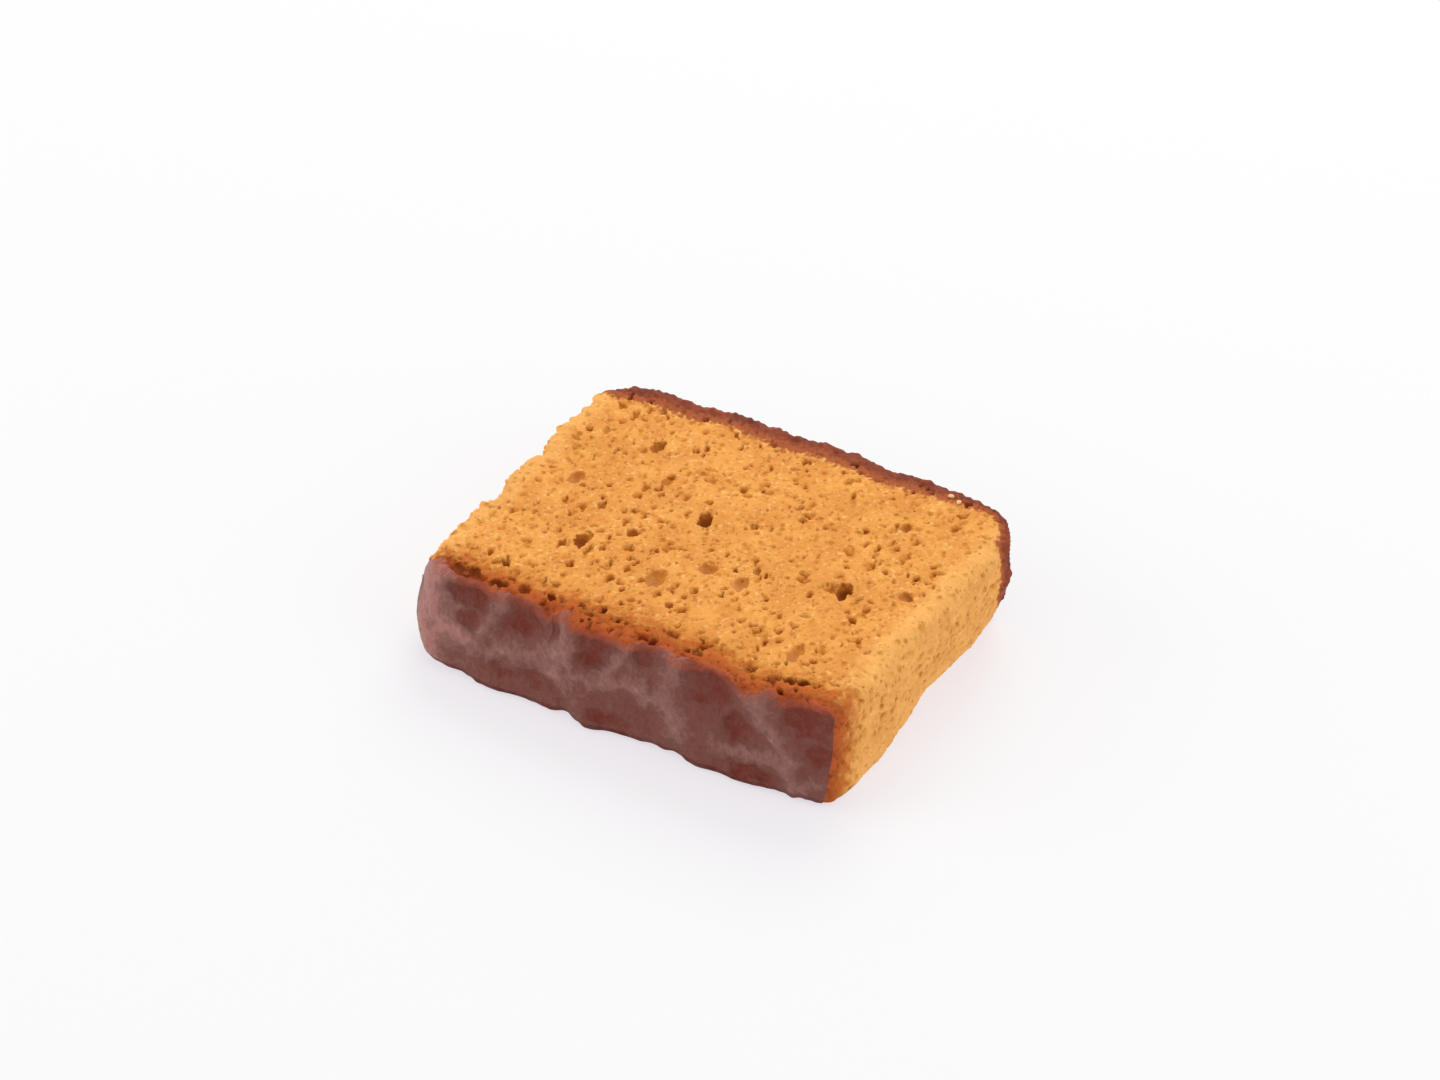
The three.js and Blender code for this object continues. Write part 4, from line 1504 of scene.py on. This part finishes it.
@dataclass
class CakeSlice:
    """The slice: its form, bubbles, crusts and finish."""

    form: SlabForm = field(default_factory=SlabForm)
    grid: SlabGrid = field(default_factory=SlabGrid)
    foam: Foam = field(default_factory=Foam)
    wrinkles: Wrinkles = field(default_factory=Wrinkles)
    bumps: CrownBumps = field(default_factory=CrownBumps)
    torn_end: TornEnd = field(default_factory=TornEnd)
    scorch: DarkEdgeMarks = field(default_factory=DarkEdgeMarks)
    finish: BakedCake = field(default_factory=BakedCake)
    grain_height: float = 0.05
    grain_seed: int = 21
    # Distances from the crusts over which their relief gives way to bubbles
    skin_edge: Span = (0.1, 1.2)
    crown_edge: Span = (0.3, 1.5)
    # The foot stays flat up to the second of these heights
    foot_hold: Span = (-1.0, -0.93)
    # Bubbles are pressed shut along the upper and lower edges of the two ends: how far, how far in, and over
    # which heights, counted up and down from the middle
    pressed: float = 0.6
    pressed_reach: Span = (0.5, 4.0)
    pressed_up: Span = (0.4, 0.95)
    pressed_down: Span = (0.0, 0.8)
    # How much paler the crumb is painted there, as painted light along those edges, and all over the
    # right end, as painted light where light falls on that end
    edge_painted_light: float = 0.55
    end_painted_light: float = 0.24
    end_reach: Span = (0.5, 2.0)
    # The skin's upper edge curls up, with a crevice behind it: height, and how far each lies from the edge
    curl: float = 0.24
    curl_gap: float = -0.7
    crevice_gap: float = 0.8
    curl_half_width: float = 0.7
    # The curl is uneven, within limits, and starts some way from the left end
    curl_sway: Ripple = Ripple(0.7, 6.0, 9.4)
    curl_limits: Span = (0.2, 2.0)
    curl_start: Span = (-47.0, -42.0)
    # From the slab's own place to where the solid stands, metres
    offset: np.ndarray = field(default_factory=lambda: np.zeros(3))

    def build(self) -> bpy.types.Object:
        """Makes the slice's mesh, dresses it and sets it on its body.

        Returns:
            The slice.
        """
        places = self.grid.places()
        quads, quad_sides, strip, strip_sides = self.grid.faces()
        slab = self.form.surface(*places.T)
        normals = vertex_normals(slab.points, np.concatenate((halved(quads, slab.points), strip)))
        points, looks = self.carve(slab, normals, places)
        self.offset = self.standing(slab.points + normals * looks.pop("wrinkle")[:, None])
        triangles = np.concatenate((halved(quads, points), strip))
        sides = np.concatenate((np.repeat(quad_sides, 2), strip_sides))

        mesh = bpy.data.meshes.new("date_cake_slice")
        mesh.from_pydata(points * MM + self.offset, [], triangles)
        for name, values in looks.items():
            mesh.attributes.new(name, "FLOAT", "POINT").data.foreach_set("value", values.astype(np.float32))
        spots = self.grid.bake_map(places[triangles], sides, self.form)
        mesh.uv_layers.new(name="OFBake").data.foreach_set("uv", spots.astype(np.float32).ravel())
        return dressed("date_cake_slice", mesh, self.finish.make())

    def carve(
        self, slab: SlabSurface, normals: np.ndarray, places: np.ndarray
    ) -> tuple[np.ndarray, dict[str, np.ndarray]]:
        """Pits the crumb and wrinkles the crusts.

        Each point moves out along its normal by the crusts' relief and the crumb's grain, and in by its
        bubbles. The bubbles close up towards both crusts, and the foot stays on the floor.

        Args:
            slab: The slab's points.
            normals: The outward direction at each point.
            places: (a, b, c) of each point.

        Returns:
            The carved points, and by name what the finish needs to know of each.
        """
        up = places[:, 2]
        skin = 1 - smoothstep(*self.skin_edge, slab.base_gap)
        crown = 1 - smoothstep(*self.crown_edge, slab.crown_gap)
        crumb = (1 - skin) * (1 - crown)
        move, depth, film = self.foam.moves(slab.points, -normals, up == 1)
        near_end = 1 - smoothstep(*self.pressed_reach, np.minimum(slab.left_gap, slab.right_gap))
        edges = np.maximum(smoothstep(*self.pressed_up, up), smoothstep(*self.pressed_down, -up))
        pressed = self.pressed * near_end * edges
        open_share = crumb * (1 - pressed)
        # Painted light over the right end
        end_light_share = self.end_painted_light * (1 - smoothstep(*self.end_reach, slab.right_gap))
        grain = self.grain_height * np.random.default_rng(self.grain_seed).standard_normal(len(depth))
        stands = smoothstep(*self.foot_hold, up)
        wrinkle = self.wrinkles.height(slab.points) * skin * stands
        out = self.bumps.height(slab.points) * crown + self.lip(slab)
        out = out + (grain + self.torn_end.height(slab.points, slab.left_gap)) * crumb
        points = slab.points + normals * (wrinkle + out * stands)[:, None] + move * open_share[:, None]
        points[:, 2] = np.maximum(points[:, 2], 0)
        looks = {
            "base_gap": slab.base_gap,
            "toast_gap": slab.toast_gap,
            "crown_gap": slab.crown_gap,
            "pit": depth * open_share,
            "film": film * open_share,
            # The skin's painted sheen and shade
            "crest": self.wrinkles.skin_light_and_shade(slab.points, (up + 1) / 2 * self.form.thickness),
            # Painted light along the ends' edges and over the right end
            "pressed": np.maximum(pressed * self.edge_painted_light, end_light_share),
            "scorch": self.scorch.at(slab.points),
            "wrinkle": wrinkle,
        }
        return points, looks

    def lip(self, slab: SlabSurface) -> np.ndarray:
        """Height of the skin's curled edge: a bell curve on it less one behind it, uneven along the slice.

        Args:
            slab: The slab's points.

        Returns:
            The height, mm.
        """
        x, _, z = slab.points.T
        rise = bell(slab.base_gap, self.curl_gap, self.curl_half_width)
        fall = bell(slab.base_gap, self.crevice_gap, self.curl_half_width)
        uneven = np.clip(1 + self.curl_sway.at(x, z), *self.curl_limits) * smoothstep(*self.curl_start, x)
        return self.curl * uneven * (rise - fall)

    def standing(self, slab: np.ndarray) -> np.ndarray:
        """The way from the slab's own place to the solid's, in metres, by the middles of their boxes.

        Args:
            slab: Points of the slab with its wrinkles, mm.

        Returns:
            The way along x, y and z.
        """
        low, high = (np.array(corner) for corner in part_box(NODE))
        middle = (slab.min(0) + slab.max(0)) / 2
        middle[2] = slab[:, 2].min()
        return np.append((low + high)[:2] / 2, low[2]) - middle * MM


@dataclass(frozen=True)
class LooseFinish:
    """Dry cake that has come loose: dull and of one colour, for it is too small to show more."""

    name: str
    colour: str
    roughness: float = 0.9
    shine: float = 0.1

    def make(self) -> bpy.types.Material:
        """Builds the material.

        Returns:
            The material.
        """
        inputs = {
            "Base Color": linear(self.colour),
            "Roughness": self.roughness,
            "Specular IOR Level": self.shine,
        }
        return give_surface(new_material(self.name), inputs)


@dataclass(frozen=True)
class Bit:
    """A loose bit of cake: its middle on the slab, its half sizes along x, y and z, mm, and its seed."""

    middle: tuple[float, float, float]
    half_sizes: tuple[float, float, float]
    seed: float


@dataclass(frozen=True)
class LooseBits:
    """Bits of one kind that cling to the slice, as one piece.

    A bit is a ball whose radius ripples with its longitude and latitude. Each pole is one vertex.
    """

    name: str
    bits: tuple[Bit, ...]
    finish: LooseFinish
    around: int = 20
    rise: int = 12
    roughness: float = 0.2
    ripples: float = 1.6

    def points(self, bit: Bit) -> np.ndarray:
        """The bit's vertices, ring by ring, then its lower and its upper pole.

        Args:
            bit: The bit.

        Returns:
            The vertices, mm.
        """
        turn = np.linspace(0, 2 * np.pi, self.around, endpoint=False)
        tilt = np.linspace(-np.pi / 2, np.pi / 2, self.rise + 2)[1:-1, None]
        level = np.cos(tilt)
        rings = np.stack(np.broadcast_arrays(level * np.cos(turn), level * np.sin(turn), np.sin(tilt)), -1)
        ball = np.concatenate((rings.reshape(-1, 3), [(0, 0, -1), (0, 0, 1)]))
        x, y, z = ball.T
        radius = 1 + Ripple(self.roughness, self.ripples, bit.seed).at(x + z, y - z)
        return ball * radius[:, None] * bit.half_sizes + bit.middle

    def faces(self) -> np.ndarray:
        """The triangles of one bit, facing out.

        Returns:
            Three vertex numbers a row.
        """
        rings = np.arange(self.rise * self.around).reshape(self.rise, -1)
        ahead = np.roll(rings, -1, 1)
        low, high = np.full(self.around, rings.size), np.full(self.around, rings.size + 1)
        sides = (
            np.stack((rings[:-1], ahead[:-1], ahead[1:]), -1).reshape(-1, 3),
            np.stack((rings[:-1], ahead[1:], rings[1:]), -1).reshape(-1, 3),
            np.stack((ahead[0], rings[0], low), -1),
            np.stack((rings[-1], ahead[-1], high), -1),
        )
        return np.concatenate(sides)

    def build(self, cake: CakeSlice) -> bpy.types.Object:
        """Makes the bits where they cling.

        Args:
            cake: The slice, already built.

        Returns:
            The piece.
        """
        points = np.stack([self.points(bit) for bit in self.bits])
        faces = self.faces() + points.shape[1] * np.arange(len(self.bits))[:, None, None]
        mesh = bpy.data.meshes.new(self.name)
        mesh.from_pydata(points.reshape(-1, 3) * MM + cake.offset, [], faces.reshape(-1, 3))
        return dressed(self.name, mesh, self.finish.make())


CRUMBS = LooseBits(
    "clinging_crumbs",
    (
        Bit((32.7, 33.2, 23.3), (0.55, 0.4, 0.35), 0.4),
        Bit((35.0, 32.2, 23.4), (0.4, 0.5, 0.3), 1.9),
    ),
    LooseFinish("dry_cake_crumb", "#F6C88E"),
)
FLAKE = LooseBits(
    "crust_flake",
    (Bit((46.4, 30.8, 11.4), (1.4, 1.2, 0.9), 2.6),),
    LooseFinish("dry_cake_crust", "#8A3E24"),
)


@dataclass(frozen=True)
class PaleFloor:
    """Matt white acrylic, lit from below, so that shadows on it stay pale."""

    name: str = "white_acrylic_floor"
    colour: str = "#8C968D"
    glow_colour: str = "#FFF6FF"
    glow: float = 0.66
    roughness: float = 0.7
    shine: float = 0.1
    half_width: float = 6.0

    def build(self) -> None:
        """Lays the floor under the slice."""
        corners = np.array([(-1, -1, 0), (1, -1, 0), (1, 1, 0), (-1, 1, 0)]) * self.half_width
        mesh = bpy.data.meshes.new("floor")
        mesh.from_pydata(corners, [], [(0, 1, 2, 3)])
        inputs = {
            "Base Color": linear(self.colour),
            "Roughness": self.roughness,
            "Specular IOR Level": self.shine,
            "Emission Color": linear(self.glow_colour),
            "Emission Strength": self.glow,
        }
        mesh.materials.append(give_surface(new_material(self.name), inputs))
        floor = bpy.data.objects.new("floor", mesh)
        bpy.context.scene.collection.objects.link(floor)


@dataclass(frozen=True)
class Studio:
    """The photograph's light and camera: a white room, large soft lamps and a long lens, in metres."""

    room_light: float = 0.7
    lamp_width: float = 0.9
    # Place and watts of each lamp
    lamps: tuple[tuple[tuple[float, float, float], float], ...] = (
        ((-0.2, 0.9, 0.95), 7.6), ((1.1, 0.0, 0.6), 3.0), ((-1.0, -0.5, 0.5), 4.2),
    )
    azimuth: float = np.radians(30)
    elevation: float = np.radians(40)
    distance: float = 0.78
    lens_mm: float = 100.0
    sensor_mm: float = 36.0
    clip: Span = (0.01, 100.0)
    aim: tuple[float, float, float] = (0.00082, 0.0006, 0.010)
    # How far below the picture's middle the slice stands, and the picture's width, pixels
    drop: float = 49.0
    picture_width: float = 1440.0

    def build(self) -> None:
        """Sets up the room, the lamps and the camera."""
        scene = bpy.context.scene
        scene.view_settings.view_transform = "Standard"
        world = bpy.data.worlds.new("white_room")
        world.use_nodes = True
        world.node_tree.nodes.clear()
        room = add_node(world.node_tree, "Background", {"Color": (1, 1, 1, 1), "Strength": self.room_light})
        add_node(world.node_tree, "OutputWorld", {"Surface": room.outputs[0]})
        scene.world = world

        for place, watts in self.lamps:
            lamp = bpy.data.lights.new("soft_lamp", "AREA")
            lamp.shape, lamp.size, lamp.energy = "DISK", self.lamp_width, watts
            self.stand("soft_lamp", lamp, Vector(place))

        camera = bpy.data.cameras.new("camera")
        camera.lens, camera.sensor_width = self.lens_mm, self.sensor_mm
        camera.shift_y = self.drop / self.picture_width
        camera.clip_start, camera.clip_end = self.clip
        level = np.cos(self.elevation)
        back = Vector((np.sin(self.azimuth) * level, -np.cos(self.azimuth) * level, np.sin(self.elevation)))
        scene.camera = self.stand("camera", camera, Vector(self.aim) + back * self.distance)

    def stand(self, name: str, data: bpy.types.ID, place: Vector) -> bpy.types.Object:
        """Stands a lamp or a camera at a place, turned towards the aim.

        Args:
            name: The object's name.
            data: The lamp or the camera.
            place: Where it stands.

        Returns:
            The object.
        """
        thing = bpy.data.objects.new(name, data)
        thing.location = place
        thing.rotation_euler = (Vector(self.aim) - place).to_track_quat("-Z", "Y").to_euler()
        bpy.context.scene.collection.objects.link(thing)
        return thing


def main() -> None:
    """Builds the studio and the slice."""
    logging.basicConfig(level=logging.INFO, format="%(name)s: %(message)s")
    Studio().build()
    PaleFloor().build()
    cake = CakeSlice()
    for piece in (cake.build(), CRUMBS.build(cake), FLAKE.build(cake)):
        LOG.info("%s has %d faces", piece.name, len(piece.data.polygons))


if __name__ == "__main__":
    main()
